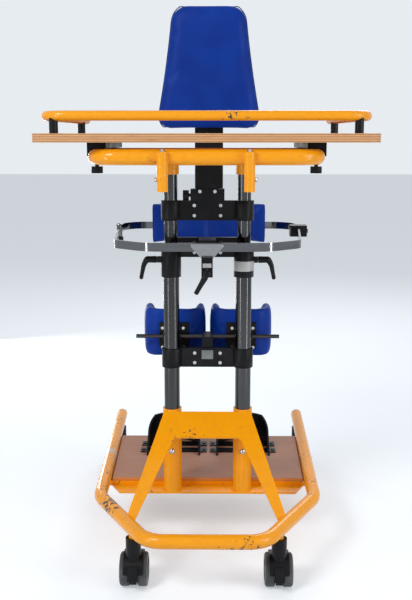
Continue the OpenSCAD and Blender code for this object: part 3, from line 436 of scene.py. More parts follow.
def plywood(name, face, face_dark, edge_light, edge_dark, ply):
    """Veneered faces and layered edges; ply is the thickness of one layer."""
    made, tree, shader = finish(name)
    shader.inputs["Specular IOR Level"].default_value = 0.25
    lines = group(tree, grain, Scale=5)
    streak = calc(tree, "MULTIPLY", lines.outputs["Lines"], 0.55)
    streak = calc(tree, "ADD", streak, calc(tree, "MULTIPLY", lines.outputs["Pores"], 0.45))
    top = blend_colours(tree, ramp(tree, streak, 0.25, 0.75), face, face_dark)
    place = add(tree, "ShaderNodeSeparateXYZ", {"Vector": object_place(tree)})
    layer = calc(tree, "PINGPONG", calc(tree, "DIVIDE", place.outputs["Z"], ply), 1)
    side = blend_colours(tree, ramp(tree, layer, 0.3, 0.7), edge_light, edge_dark)
    grime = add(tree, "ShaderNodeTexNoise", {"Vector": object_place(tree, (1, 1, 6)), "Scale": 30,
                                             "Detail": 5})
    side = blend_colours(tree, ramp(tree, grime.outputs["Fac"], 0.5, 0.75, 0, 0.7), side, edge_dark)
    facing = add(tree, "ShaderNodeSeparateXYZ",
                 {"Vector": add(tree, "ShaderNodeTexCoord").outputs["Normal"]})
    is_face = ramp(tree, calc(tree, "ABSOLUTE", facing.outputs["Z"]), 0.4, 0.8)
    tree.links.new(blend_colours(tree, is_face, side, top), shader.inputs["Base Color"])
    tree.links.new(ramp(tree, lines.outputs["Pores"], 0.3, 0.7, PLY_ROUGH, PLY_ROUGH * 1.5),
                   shader.inputs["Roughness"])
    bump(tree, shader, lines.outputs["Pores"], 0.25, 0.0003)
    return made


foot_ply = plywood("foot_ply", (0.42, 0.21, 0.135, 1), (0.37, 0.18, 0.112, 1),
                   (0.76, 0.33, 0.09, 1), (0.52, 0.20, 0.06, 1), 0.0015)
tray_ply = plywood("tray_ply", (0.60, 0.33, 0.15, 1), (0.50, 0.26, 0.115, 1),
                   (0.72, 0.41, 0.21, 1), (0.45, 0.21, 0.09, 1), 0.0022)
print("plywoods:", foot_ply.name, "and", tray_ply.name)

# %% [markdown]
# ## Give the frame its finishes
# A CAD node keeps its shape and its shading, and gets one material. What isn't in the table is
# black plastic, apart from the tyres.

# %% Assign
FINISHES = {
    paint_base: ["base_frame", "footboard_frame"],
    paint_upper: ["tray_frame", "tray_rail", "post_sleeves", "brace_plate"],
    chrome_post: ["lower_posts", "upper_posts", "knee_rod"],
    chrome_band: ["front_hoop", "hoop_gate", "hoop_hinge", "latch_tongue"],
    chrome_plate: ["clamp_plate"],
    chrome_screw: ["sleeve_bolts", "upper_screws", "knee_screws"],
    black_casting: ["hip_bracket", "hoop_arm", "back_bracket", "back_column", "chest_bracket",
                    "knee_collars", "knee_bracket", "tray_slides", "knee_cup_left",
                    "knee_cup_right"],
    foot_ply: ["footboard"],
    tray_ply: ["tray_board"],
}
finish_of = {name: made for made, names in FINISHES.items() for name in names}
for name, node in nodes.items():
    made = finish_of.get(name, tread_painted_shade if "tyres" in name else black_plastic)
    node.data.materials.clear()
    node.data.materials.append(made)
print("finished", len(nodes), "nodes")

# %% [markdown]
# Castings and boards have edges that catch the light. A weld joins the loose triangles of a CAD
# node and a narrow bevel rounds its sharp edges. Both are modifiers, so the shape itself stays.

# %% Soft edges
EDGES = {0.0012: ["hip_bracket", "chest_bracket", "knee_collars", "knee_bracket", "back_bracket",
                  "hoop_arm", "latch_box", "knee_cup_left", "knee_cup_right", "tray_slides",
                  "back_column"],
         0.0015: ["footboard", "tray_board"],
         0.0006: ["clamp_plate", "latch_tongue"]}
EDGE_STEPS = 2
EDGE_ANGLE = math.radians(38)
WELD_REACH = 0.00001
for width, names in EDGES.items():
    for name in names:
        node = nodes[name]
        weld = node.modifiers.new("weld", "WELD")
        weld.merge_threshold = WELD_REACH
        soft = node.modifiers.new("soft_edge", "BEVEL")
        soft.width, soft.segments, soft.harden_normals = width, EDGE_STEPS, True
        soft.limit_method, soft.angle_limit = "ANGLE", EDGE_ANGLE
print("softened", sum(len(names) for names in EDGES.values()), "nodes")

# %% [markdown]
# ## Coated cloth
# The pads wear a coated cloth: a pebbled skin with a soft sheen, a little paler where it is rubbed,
# and faint puckers that a slow noise adds to the bump.

# %% Pad cloth


def coated_cloth(name, colour, rubbed, roughness):
    """Pebbled cover with slow puckers under its skin."""
    made, tree, shader = finish(name)
    shader.inputs["Specular IOR Level"].default_value = 0.14
    surface = group(tree, skin, Scale=620)
    cloud = add(tree, "ShaderNodeTexNoise", {"Vector": object_place(tree), "Scale": 11,
                                             "Detail": 3})
    faded = ramp(tree, cloud.outputs["Fac"], 0.35, 0.75)
    tree.links.new(blend_colours(tree, faded, colour, rubbed), shader.inputs["Base Color"])
    tree.links.new(ramp(tree, surface.outputs["Rubbed"], 0, 1, roughness, roughness * 0.75),
                   shader.inputs["Roughness"])
    pucker = calc(tree, "MULTIPLY", cloud.outputs["Fac"], 9)
    bump(tree, shader, calc(tree, "ADD", pucker, surface.outputs["Height"]), 0.4, 0.0003)
    return made


pad_cloth = coated_cloth("pad_cloth", (0.0016, 0.030, 0.265, 1), (0.0030, 0.040, 0.320, 1), 0.50)
# The welt cloth is a much darker blue: painted shade along the back pad's rim.
welt_painted_shade = coated_cloth("welt_painted_shade", (0.0010, 0.012, 0.110, 1), (0.0018, 0.018, 0.140, 1), 0.44)
print("cloths:", pad_cloth.name, "and", welt_painted_shade.name)

# %% [markdown]
# ## The pads
# A pad starts as a grid over its middle surface. The front and the back stand off from it, and both
# meet in a rounded rim. A voxel remesh then gives even faces, and a short cloth simulation with air
# pressure swells them as foam swells its cover. No point may move further than a cap, and the side
# that lies on a plate stays flat.

# %% Pad form
NORMAL_STEP = 0.01


def swell(t, power):
    """Share of the full thickness at a place from -1 to 1, falling to 0 at the rim."""
    return math.sqrt(max(0.0, 1 - abs(t) ** power))


def facing(middle, t, v):
    """Level normal of the middle surface, to the front where the surface runs to the right."""
    along = middle(min(t + NORMAL_STEP, 1), v) - middle(max(t - NORMAL_STEP, -1), v)
    return Vector((along.y, -along.x, 0)).normalized()


def grown(middle, t, v, thick, power):
    """Place that stands off the middle surface by a thickness."""
    return middle(t, v) + facing(middle, t, v) * thick * swell(t, power) * swell(v, power)


def pad_form(name, middle, front, back, across=36, up=18, power=8):
    """Closed pad: front(t, v) and back(t, v) are how far it stands off its middle surface."""
    levels = [[-math.cos(math.pi * k / n) for k in range(n + 1)] for n in (across, up)]
    points, front_at, back_at = [], {}, {}
    for j, v in enumerate(levels[1]):
        for i, t in enumerate(levels[0]):
            front_at[i, j] = back_at[i, j] = len(points)
            points.append(grown(middle, t, v, front(t, v), power))
            if 0 < i < across and 0 < j < up:
                back_at[i, j] = len(points)
                points.append(grown(middle, t, v, -back(t, v), power))
    faces = []
    for j in range(up):
        for i in range(across):
            corners = [(i, j), (i + 1, j), (i + 1, j + 1), (i, j + 1)]
            faces.append([front_at[c] for c in corners])
            faces.append([back_at[c] for c in reversed(corners)])
    mesh = bpy.data.meshes.new(name)
    mesh.from_pydata(points, [], faces)
    made = bpy.data.objects.new(name, mesh)
    bpy.context.collection.objects.link(made)
    return made


# %% [markdown]
# **Applying a modifier.** A simulation or a remesh is settled into the mesh once, so that nothing
# of it is left to run later.

# %% Modifier helper


def apply_modifier(piece, kind, **settings):
    """Adds a modifier with its settings and applies it to the mesh."""
    bpy.context.view_layer.objects.active = piece
    bpy.ops.object.modifier_add(type=kind)
    modifier = piece.modifiers[-1]
    for key, value in settings.items():
        setattr(modifier, key, value)
    bpy.ops.object.modifier_apply(modifier=modifier.name)


print("modifier helper ready")

# %% [markdown]
# **Swelling.** The form is remeshed and blown up a little.

# %% Pad swelling
PAD_VOXEL = 0.005
PAD_FRAMES = 20
PAD_PRESSURE = 4
PAD_SMOOTHING = 3
PAD_SHRINK = 0.003
PAD_REST = 0.0004
PAD_SKIN = 0.001


def plump(piece, cap, rest_side, rest_y):
    """Swells a pad by at most cap; its rear (rest_side 1) or front (-1) lies flat at rest_y."""
    apply_modifier(piece, "REMESH", mode="VOXEL", voxel_size=PAD_VOXEL)
    before = [point.co.copy() for point in piece.data.vertices]
    bpy.ops.object.modifier_add(type="CLOTH")
    cloth = piece.modifiers[-1]
    cloth.settings.use_pressure = True
    cloth.settings.uniform_pressure_force = PAD_PRESSURE
    cloth.settings.effector_weights.gravity = 0
    for number in range(1, PAD_FRAMES + 1):
        bpy.context.scene.frame_set(number)
    bpy.ops.object.modifier_apply(modifier=cloth.name)
    bpy.context.scene.frame_set(1)
    for point, start in zip(piece.data.vertices, before):
        move = point.co - start
        if move.length > cap:
            point.co = start + move * (cap / move.length)
        if rest_side * (point.co.y - rest_y) > 0:
            point.co.y = rest_y
    for face in piece.data.polygons:
        face.use_smooth = True
    piece.modifiers.new("soften", "SMOOTH").iterations = PAD_SMOOTHING
    rounding = piece.modifiers.new("round", "SUBSURF")
    rounding.levels = rounding.render_levels = 1


print("pad voxel:", PAD_VOXEL * 1000, "mm, pressure", PAD_PRESSURE)

# %% [markdown]
# ** Dressing.** Each pad gets the coated cloth, moves with its body and stands for its CAD node.


def dress_pad(piece, node, body):
    """Gives a pad its cloth and lets it stand for its CAD node."""
    piece.data.materials.append(pad_cloth)
    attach(piece, body)
    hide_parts(node)
    print(piece.name, "has", len(piece.data.vertices), "points")


# %% [markdown]
# ** Welts.** A welt is a cord sewn into a seam. Its dark blue is painted shade, standing for the
# shade along the pad's rim. Its path is dropped onto the swollen pad by casting rays, and a curve
# with a round bevel follows it.

# %% Welt maker
WELT_START, WELT_REACH = 0.08, 0.2
WELT_RESOLUTION = 3


def welt(name, piece, path, inward, radius):
    """A welt cord painted as rim shade; path is its loop, dropped onto the pad along inward."""
    bpy.context.view_layer.update()
    tree = BVHTree.FromObject(piece, bpy.context.evaluated_depsgraph_get())
    to_piece = piece.matrix_world.inverted()
    placed = []
    for place in path:
        start = to_piece @ (place - inward * WELT_START)
        hit = tree.ray_cast(start, (to_piece.to_3x3() @ inward).normalized(), WELT_REACH)[0]
        placed.append(piece.matrix_world @ hit if hit else place)
    data = bpy.data.curves.new(name, "CURVE")
    data.dimensions = "3D"
    data.bevel_depth = radius
    data.bevel_resolution = WELT_RESOLUTION
    spline = data.splines.new("POLY")
    spline.points.add(len(placed) - 1)
    for point, place in zip(spline.points, placed):
        point.co = (*place, 1)
    spline.use_cyclic_u = True
    made = bpy.data.objects.new(name, data)
    bpy.context.collection.objects.link(made)
    made.data.materials.append(welt_painted_shade)
    print(name, "follows", len(placed), "points")
    return made


# %% [markdown]
# ** The back pad.** Its outline is a rounded trapezoid whose sides draw in a little between the
# corners. A dark welt runs round the front, just inside the rim, as painted shade along the rim.

# %% Back pad
back_low, back_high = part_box("back_pad")
BACK_TALL = back_high[2] - back_low[2]
BACK_THICK = back_high[1] - back_low[1]
BACK_LOW_HALF = 0.311 / 2
BACK_HIGH_HALF = 0.209 / 2
BACK_CORNER = 0.045
BACK_DRAW = 0.004
BACK_RIM, BACK_CROWN = 0.80, 0.08
BACK_CAP = 0.005


def back_half(v):
    """Half the pad's width at a height from -1 to 1."""
    share = (v + 1) / 2
    half = BACK_LOW_HALF + (BACK_HIGH_HALF - BACK_LOW_HALF) * share
    from_end = (1 - abs(v)) * BACK_TALL / 2
    if from_end < BACK_CORNER:
        half -= BACK_CORNER - math.sqrt(BACK_CORNER ** 2 - (BACK_CORNER - from_end) ** 2)
    return half - BACK_DRAW * (1 - v * v) - PAD_SHRINK


back_centre = Vector((0, (back_low[1] + back_high[1]) / 2, (back_low[2] + back_high[2]) / 2))


def back_middle(t, v):
    return back_centre + Vector((t * back_half(v), 0, v * (BACK_TALL / 2 - PAD_SHRINK)))


def back_front(t, v):
    """Thickness to the front, with a low crown."""
    return BACK_THICK / 2 * (BACK_RIM + BACK_CROWN * (1 - t * t) * (1 - v * v))


back_pad = pad_form("back_pad_cover", back_middle, back_front,
                    lambda t, v: BACK_THICK / 2 - PAD_SKIN, up=36, power=12)
plump(back_pad, BACK_CAP, 1, back_high[1] - PAD_REST)
dress_pad(back_pad, "back_pad", "back_support")

# %% [markdown]
# ** The back pad's welt.** It runs up one side and down the other, a little inside the outline. Its
# dark blue is painted shade of the rim.

# %% Back welt
BACK_WELT_IN = 0.955
BACK_WELT_RADIUS = 0.0014
WELT_STEPS = 40
back_loop = []
for side in (-1, 1):
    for k in range(WELT_STEPS + 1):
        v = side * math.cos(math.pi * k / WELT_STEPS) * BACK_WELT_IN
        back_loop.append(back_middle(-side * BACK_WELT_IN, v))
# The welt's dark blue is painted shade along the rim.
back_shade_welt = welt("back_pad_shade_welt", back_pad, back_loop, Vector((0, 1, 0)), BACK_WELT_RADIUS)
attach(back_shade_welt, "back_support")

# %% [markdown]
# **The hip pad.** It curves forward at both ends, and a sewn channel runs down the middle of its
# front. The channel is in the form itself, wide enough for the remesh to keep it.

# %% Hip pad
hip_low, hip_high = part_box("hip_pad")
HIP_HALF = (hip_high[0] - hip_low[0]) / 2
HIP_TALL = hip_high[2] - hip_low[2]
HIP_THICK = 0.034
HIP_WING = 0.055
HIP_BEND = 2.6
CHANNEL_DEEP, CHANNEL_HALF = 0.5, 0.06
HIP_CAP = 0.004
hip_rear = hip_high[1]
hip_centre = Vector((0, hip_rear - HIP_THICK / 2, (hip_low[2] + hip_high[2]) / 2))


def hip_middle(t, v):
    return hip_centre + Vector((t * (HIP_HALF - PAD_SHRINK), -HIP_WING * abs(t) ** HIP_BEND,
                                v * (HIP_TALL / 2 - PAD_SHRINK)))


def hip_front(t, v):
    """Thickness to the front, less in the channel."""
    return HIP_THICK / 2 * (1 - CHANNEL_DEEP * math.exp(-(t / CHANNEL_HALF) ** 2)) - PAD_SKIN


hip_pad = pad_form("hip_pad_cover", hip_middle, hip_front, lambda t, v: HIP_THICK / 2 - PAD_SKIN,
                   across=60, up=20)
plump(hip_pad, HIP_CAP, 1, hip_rear - PAD_REST)
dress_pad(hip_pad, "hip_pad", "gate")

# %% [markdown]
# **The knee pads.** Each one wraps round a knee in a U, thicker towards the ends of its wings. The
# left pad is the right one seen in a mirror.

# %% Knee plan
KNEE_X = 0.084
KNEE_TALL = 0.134
KNEE_HALF = 0.063
KNEE_BEND = 0.025
KNEE_THICK = 0.026
KNEE_OUTER = 0.040
KNEE_INNER = 0.033
KNEE_WING = 0.085
KNEE_CAP = 0.004


def knee_plan(s):
    """Place on the U at a signed distance from its middle."""
    flat, arc, far = KNEE_HALF - KNEE_BEND, KNEE_BEND * math.pi / 2, abs(s)
    side = math.copysign(1, s)
    if far <= flat:
        return Vector((s, 0, 0))
    if far <= flat + arc:
        angle = (far - flat) / KNEE_BEND
        return Vector((side * (flat + KNEE_BEND * math.sin(angle)),
                       KNEE_BEND * (1 - math.cos(angle)), 0))
    return Vector((side * KNEE_HALF, KNEE_BEND + far - flat - arc, 0))


KNEE_REACH = (KNEE_HALF - KNEE_BEND + KNEE_BEND * math.pi / 2 + KNEE_WING - KNEE_THICK / 2
              - KNEE_BEND)


print("half of a knee pad's U:", round(KNEE_REACH * 1000, 1), "mm")

# %% [markdown]
# **Both knee pads.** The middle surface follows the U, and the thickness grows with the fourth
# power of the distance, so that it stays even behind the knee and swells only in the wings. The
# left pad is a mirrored copy, and its faces are flipped back to point outwards.

# %% Knee pads


def knee_thick(t, v):
    """Half the thickness at a place on the U, more in the wings."""
    wing = KNEE_OUTER if t > 0 else KNEE_INNER
    return (KNEE_THICK + (wing - KNEE_THICK) * t ** 4) / 2 - PAD_SKIN


knee_low, knee_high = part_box("knee_pad_right")
knee_place = Vector((KNEE_X, knee_low[1] + KNEE_THICK / 2, (knee_low[2] + knee_high[2]) / 2))


def knee_middle(t, v):
    return knee_place + knee_plan(t * KNEE_REACH) + Vector((0, 0, v * (KNEE_TALL / 2 - PAD_SHRINK)))


knee_right = pad_form("knee_pad_right_cover", knee_middle, knee_thick, knee_thick,
                      across=64, up=20)
plump(knee_right, KNEE_CAP, -1, knee_low[1] + PAD_REST)
knee_left = knee_right.copy()
knee_left.data = knee_right.data.copy()
knee_left.name = "knee_pad_left_cover"
bpy.context.collection.objects.link(knee_left)
for point in knee_left.data.vertices:
    point.co.x = -point.co.x
knee_left.data.flip_normals()
dress_pad(knee_right, "knee_pad_right", "knee_right")
dress_pad(knee_left, "knee_pad_left", "knee_left")

# %% [markdown]
# ## Helpers for small fittings
# Turned and cast pieces look round when their shading is smooth, yet their edges should stay crisp.
# Smoothing by angle does both. Each fitting then gets its material and its body the same way, so
# one helper does all of it.

# %% Fitting helpers
CRISP_DEGREES = 32
MERGE = 0.00001


def pick(piece):
    """Makes a piece the only selected one and the active one."""
    bpy.ops.object.select_all(action="DESELECT")
    piece.select_set(True)
    bpy.context.view_layer.objects.active = piece


def smooth_by_angle(piece):
    """Smooth shading where the surface turns by less than an angle."""
    pick(piece)
    bpy.ops.object.shade_smooth_by_angle(angle=math.radians(CRISP_DEGREES))


def fit_out(piece, material, body):
    """Gives a fitting its material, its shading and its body."""
    piece.data.materials.append(material)
    smooth_by_angle(piece)
    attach(piece, body)
    return piece


def select_points(piece, wanted):
    """In edit mode, selects the points for which wanted(place) is true, and nothing else."""
    bpy.ops.mesh.select_all(action="DESELECT")
    bpy.ops.object.mode_set(mode="OBJECT")
    for point in piece.data.vertices:
        point.select = wanted(point.co)
    for edge in piece.data.edges:
        edge.select = all(piece.data.vertices[end].select for end in edge.vertices)
    bpy.ops.object.mode_set(mode="EDIT")


def draw_out(move, scale, centre):
    """Extrudes what is selected by a move, and scales the new end about a centre."""
    bpy.ops.mesh.extrude_region_move(TRANSFORM_OT_translate={"value": move})
    bpy.ops.transform.resize(value=(scale, scale, 1), center_override=centre)


print("edges turn crisp past", CRISP_DEGREES, "degrees")

# %% [markdown]
# ## Socket screws
# The brackets are held by button heads with a hexagon socket. A circle is extruded up and scaled in
# for the button. A hexagon is bridged to its top and pushed down for the socket. A boolean cut
# would do as well, but rings leave cleaner faces on something so small. The underside lies on its
# bracket and stays open.

# %% One screw head
SCREW_SIDES = 24
BUTTON_RINGS = [(1, 0.45), (0.93, 0.75), (0.78, 1)]
SOCKET_TOP, SOCKET_LOW, SOCKET_FLOOR = 0.48, 0.46, 0.35

bpy.ops.object.select_all(action="DESELECT")
bpy.ops.mesh.primitive_circle_add(vertices=SCREW_SIDES, radius=1)
head = bpy.context.active_object
bpy.ops.object.mode_set(mode="EDIT")
bpy.ops.mesh.select_all(action="SELECT")
share, level = 1, 0
for next_share, next_level in BUTTON_RINGS:
    draw_out((0, 0, next_level - level), next_share / share, (0, 0, next_level))
    share, level = next_share, next_level
bpy.ops.mesh.primitive_circle_add(vertices=6, radius=SOCKET_TOP, location=(0, 0, level),
                                  rotation=(0, 0, math.pi / 6))
bpy.ops.mesh.subdivide(number_cuts=SCREW_SIDES // 6 - 1)
select_points(head, lambda place: abs(place.z - level) < MERGE)
bpy.ops.mesh.bridge_edge_loops()
select_points(head, lambda place: abs(place.z - level) < MERGE
              and place.xy.length < (share + SOCKET_TOP) / 2)
draw_out((0, 0, SOCKET_FLOOR - level), SOCKET_LOW / SOCKET_TOP, (0, 0, SOCKET_FLOOR))
bpy.ops.mesh.edge_face_add()
bpy.ops.mesh.select_all(action="SELECT")
bpy.ops.mesh.normals_make_consistent(inside=False)
bpy.ops.object.mode_set(mode="OBJECT")
head_mesh = head.data
bpy.data.objects.remove(head)
print("screw head:", len(head_mesh.vertices), "points,", len(head_mesh.polygons), "faces")

# %% [markdown]
# **Sets of screws.** Every screw of a bracket is a copy of the one head, scaled to its size, turned
# to point outwards and put in its place. The copies of a set are joined into one piece.

# %% Screw sets
POST_Y = -0.100
WEB_FACE = POST_Y - 0.007
HEAD_RADIUS, HEAD_TALL = 0.005, 0.0035
TOWARDS_CAMERA = (0, -1, 0)
web_grid = [(side * 0.031, row * 0.012) for side in (-1, 1) for row in (-1, 1)]


def screws(name, places, way, radius, height, body, stands_for=None):
    """One piece of joined screw heads that point along way; it can stand for a CAD node."""
    turn = Vector((0, 0, 1)).rotation_difference(Vector(way))
    bpy.ops.object.select_all(action="DESELECT")
    for place in places:
        made = bpy.data.objects.new(name, head_mesh.copy())
        bpy.context.collection.objects.link(made)
        made.matrix_world = Matrix.LocRotScale(Vector(place), turn,
                                               Vector((radius, radius, height)))
        made.select_set(True)
    bpy.context.view_layer.objects.active = made
    if len(places) > 1:
        bpy.ops.object.join()
    made.name = name
    bpy.ops.object.transform_apply(location=True, rotation=True, scale=True)
    fit_out(made, chrome_screw, body)
    if stands_for:
        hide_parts(stands_for)
    print(name, "holds", len(places), "heads")
    return made


def web_row(height):
    """The four screws of a bracket's web, at a height."""
    return [(x, WEB_FACE, height + z) for x, z in web_grid]


print("screws to a web:", len(web_grid))

# %% [markdown]
# **Chest screws.** The chest bracket has four screws in its web, and its housing has two more. The
# set stands for the CAD node of the upper screws.

# %% Chest screws
CHEST_Z = 0.8225
HOUSING_X, HOUSING_OUT, HOUSING_Z = 0.0176, 0.015, 0.8676
screws("chest_screw_heads",
       web_row(CHEST_Z) + [(side * HOUSING_X, POST_Y - HOUSING_OUT, HOUSING_Z) for side in (-1, 1)],
       TOWARDS_CAMERA, HEAD_RADIUS, HEAD_TALL, "mast", "upper_screws")

# %% [markdown]
# **Socket bolts.** The CAD node of the upper screws also holds the bolts of the two tray sockets.
# Their shapes are right as they are, so they are kept: a copy of the node is merged, and bisect
# clears the chest screws behind a plane.

# %% Socket bolts
SPLIT_Y = -0.25
bolts = bpy.data.objects.new("socket_bolts", nodes["upper_screws"].data.copy())
bpy.context.collection.objects.link(bolts)
pick(bolts)
bpy.ops.object.mode_set(mode="EDIT")
bpy.ops.mesh.select_all(action="SELECT")
bpy.ops.mesh.remove_doubles(threshold=MERGE)
bpy.ops.mesh.bisect(plane_co=(0, SPLIT_Y, 0), plane_no=(0, 1, 0), clear_outer=True)
bpy.ops.object.mode_set(mode="OBJECT")
smooth_by_angle(bolts)
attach(bolts, "mast")
print("socket bolts:", len(bolts.data.polygons), "faces")

# %% [markdown]
# **Knee and hip screws.** These brackets have the same four screws in their webs. The knee set
# stands for its CAD node, and the hip bracket has none of its own.

# %% Knee and hip screws
KNEE_Z, HIP_Z = 0.4645, 0.7350
screws("knee_screw_heads", web_row(KNEE_Z), TOWARDS_CAMERA, HEAD_RADIUS, HEAD_TALL,
       "knee_carriage", "knee_screws")
screws("hip_screw_heads", web_row(HIP_Z), TOWARDS_CAMERA, HEAD_RADIUS, HEAD_TALL, "base")

# %% [markdown]
# **Knee plate screws.** Each knee cup is held to its plate by four smaller heads.

# %% Knee plate screws
PLATE_X, PLATE_Z, PLATE_FACE = 0.087, 0.499, -0.040
PLATE_SCREW_X, PLATE_SCREW_Z = 0.026, 0.0245
PLATE_HEAD_RADIUS, PLATE_HEAD_TALL = 0.0045, 0.0030
for side, body in ((-1, "knee_left"), (1, "knee_right")):
    screws("plate_screws_" + body,
           [(side * (PLATE_X + x * PLATE_SCREW_X), PLATE_FACE, PLATE_Z + z * PLATE_SCREW_Z)
            for x in (-1, 1) for z in (-1, 1)],
           TOWARDS_CAMERA, PLATE_HEAD_RADIUS, PLATE_HEAD_TALL, body)

# %% [markdown]
# ## Levers
# A clamp lever is one casting: a round hub that runs out to an elbow, and an arm that hangs from it
# and swells at its tip. Each starts as a disc that is extruded once for every bend, and its rings
# are then laid square to the path, each with its own radius. A curve would bend as easily, but its
# rings lean in the corners. A voxel remesh joins hub and arm, and smoothing softens the edges.

# %% Casting maker
CAST_VOXEL = 0.0012
CAST_SMOOTHING = 4
TUBE_SIDES = 20


def drawn_tube(path, radii, flat):
    """A capped round tube with a radius at each point; flat squeezes its rings along Y."""
    bpy.ops.object.select_all(action="DESELECT")
    bpy.ops.mesh.primitive_circle_add(vertices=TUBE_SIDES, radius=1, fill_type="NGON",
                                      location=(0, 0, 0))
    tube = bpy.context.active_object
    bpy.ops.object.mode_set(mode="EDIT")
    bpy.ops.mesh.select_all(action="SELECT")
    for _ in path[1:]:
        bpy.ops.mesh.extrude_region_move()
    bpy.ops.object.mode_set(mode="OBJECT")
    points = tube.data.vertices
    spokes = [point.co.copy() for point in points[:TUBE_SIDES]]
    for index, (place, radius) in enumerate(zip(path, radii)):
        before, after = path[max(index - 1, 0)], path[min(index + 1, len(path) - 1)]
        turn = (Vector(after) - Vector(before)).to_track_quat("Z", "Y")
        for k, spoke in enumerate(spokes):
            local = turn @ (spoke * radius)
            points[index * TUBE_SIDES + k].co = Vector(place) + Vector((local.x, local.y * flat,
                                                                        local.z))
    return tube


def cast_piece(name, tubes, material):
    """One smooth casting from several tubes; each is (path, radii, flat)."""
    drawn = [drawn_tube(path, radii, flat) for path, radii, flat in tubes]
    pick(drawn[0])
    for tube in drawn:
        tube.select_set(True)
    bpy.ops.object.join()
    made = bpy.context.active_object
    made.name = name
    bpy.ops.object.mode_set(mode="EDIT")
    bpy.ops.mesh.select_all(action="SELECT")
    bpy.ops.mesh.normals_make_consistent(inside=False)
    bpy.ops.object.mode_set(mode="OBJECT")
    apply_modifier(made, "REMESH", mode="VOXEL", voxel_size=CAST_VOXEL)
    apply_modifier(made, "SMOOTH", factor=0.5, iterations=CAST_SMOOTHING)
    for face in made.data.polygons:
        face.use_smooth = True
    made.data.materials.append(material)
    print(name, "has", len(made.data.polygons), "faces")
    return made


print("casting voxel:", CAST_VOXEL * 1000, "mm")

# %% [markdown]
# **The clamp levers.** They stand out to the left and the right of the hip bracket. Distances are
# from the bracket outwards, forwards and down, so that one table serves both sides.

# %% Clamp levers
LEVER_Z = 0.705
LEVER_START = 0.1213
HUB_OUT = (0, 0.002, 0.016, 0.024, 0.030)
HUB_RADII = (0.0078, 0.0086, 0.0080, 0.0082, 0.0045)
ARM_TABLE = ((0.020, 0, -0.001), (0.027, 0, 0.004), (0.032, -0.001, 0.015), (0.035, -0.002, 0.030),
             (0.038, -0.002, 0.045), (0.0385, -0.002, 0.048))
ARM_RADII = (0.0050, 0.0072, 0.0060, 0.0052, 0.0050, 0.0030)
ARM_FLAT = 0.85
LEVER_SCREW_OUT, LEVER_SCREW_RADIUS, LEVER_SCREW_TALL = 0.0292, 0.0036, 0.0018
for side, name in ((-1, "left"), (1, "right")):
    hub = [(side * (LEVER_START + out), POST_Y, LEVER_Z) for out in HUB_OUT]
    arm = [(side * (LEVER_START + out), POST_Y + ahead, LEVER_Z - drop)
           for out, ahead, drop in ARM_TABLE]
    lever = cast_piece("clamp_lever_" + name + "_casting",
                       [(hub, HUB_RADII, 1), (arm, ARM_RADII, ARM_FLAT)], black_plastic)
    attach(lever, "clamp_lever_" + name)
    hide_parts("clamp_lever_" + name)
    screws("clamp_lever_screw_" + name,
           [(side * (LEVER_START + LEVER_SCREW_OUT), POST_Y, LEVER_Z)],
           (side, 0, 0), LEVER_SCREW_RADIUS, LEVER_SCREW_TALL, "clamp_lever_" + name)

# %% [markdown]
# **The hoop lever.** It faces the camera under the hoop, with its hub along Y and its arm hanging
# down to the left. Its place comes from the box of the lever in the frame.

# %% Hoop lever
hoop_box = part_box("hoop_lever")
HUB_DEEP, HUB_DROP = 0.014, 0.009
HUB_SINK, ARM_SINK, ARM_ASIDE = 0.0003, 0.008, 0.004
HUB_BACK = (0, -0.003, -0.011, -0.014)
HOOP_HUB_RADII = (0.0088, 0.0092, 0.0086, 0.0060)
HOOP_ARM = ((-0.004, 0, -0.002), (0.001, 0.001, 0.010), (0.008, 0.002, 0.022),
            (0.016, 0.003, 0.036), (0.021, 0.003, 0.045), (0.022, 0.003, 0.047))
HOOP_ARM_RADII = (0.0055, 0.0075, 0.0062, 0.0056, 0.0056, 0.0035)
HOOP_ARM_FLAT = 0.9
hub_front = hoop_box[0][1] + HUB_DEEP
hub_z = hoop_box[1][2] - HUB_DROP
hub = [(0, hub_front - HUB_SINK + back, hub_z) for back in HUB_BACK]
arm = [(-ARM_ASIDE - aside, hub_front - ARM_SINK - ahead, hub_z - drop)
       for aside, ahead, drop in HOOP_ARM]
lever = cast_piece("hoop_lever_casting",
                   [(hub, HOOP_HUB_RADII, 1), (arm, HOOP_ARM_RADII, HOOP_ARM_FLAT)], black_plastic)
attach(lever, "hoop_lever")
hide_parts("hoop_lever")

# %% [markdown]
# ## Turned pieces
# Bands, rims and knobs are round, so half of their outline is enough. A point is extruded from one
# place of the outline to the next until it closes, and spin carries the outline round the Z axis.

# %% Lathe


def lathe(name, profile, sides=64):
    """Closed ring about Z from (radius, height) places, as a new piece at the origin."""
    bpy.ops.object.select_all(action="DESELECT")
    bpy.ops.mesh.primitive_plane_add(size=1)
    made = bpy.context.active_object
    made.name = name
    bpy.ops.object.mode_set(mode="EDIT")
    bpy.ops.mesh.select_all(action="SELECT")
    bpy.ops.mesh.merge(type="CENTER")
    place = (0, 0)
    for radius, height in profile + profile[:1]:
        step = (radius - place[0], 0, height - place[1])
        if place == (0, 0):
            bpy.ops.transform.translate(value=step)
        else:
            bpy.ops.mesh.extrude_region_move(TRANSFORM_OT_translate={"value": step})
        place = (radius, height)
    bpy.ops.mesh.select_all(action="SELECT")
    bpy.ops.mesh.remove_doubles(threshold=MERGE)
    bpy.ops.mesh.spin(steps=sides, angle=2 * math.pi, center=(0, 0, 0), axis=(0, 0, 1))
    bpy.ops.mesh.select_all(action="SELECT")
    bpy.ops.mesh.remove_doubles(threshold=MERGE)
    bpy.ops.mesh.normals_make_consistent(inside=False)
    bpy.ops.object.mode_set(mode="OBJECT")
    return made


def place_in_mesh(piece, place):
    """Moves a piece and puts its place in its mesh, so that its object stays at the origin."""
    pick(piece)
    piece.location = place
    bpy.ops.object.transform_apply(location=True, rotation=True, scale=True)


print("lathe ready")

# %% [markdown]
# **The collar band.** The right collar of the hip bracket has a plain bright band round it, a
# fraction of a millimetre proud of the casting.

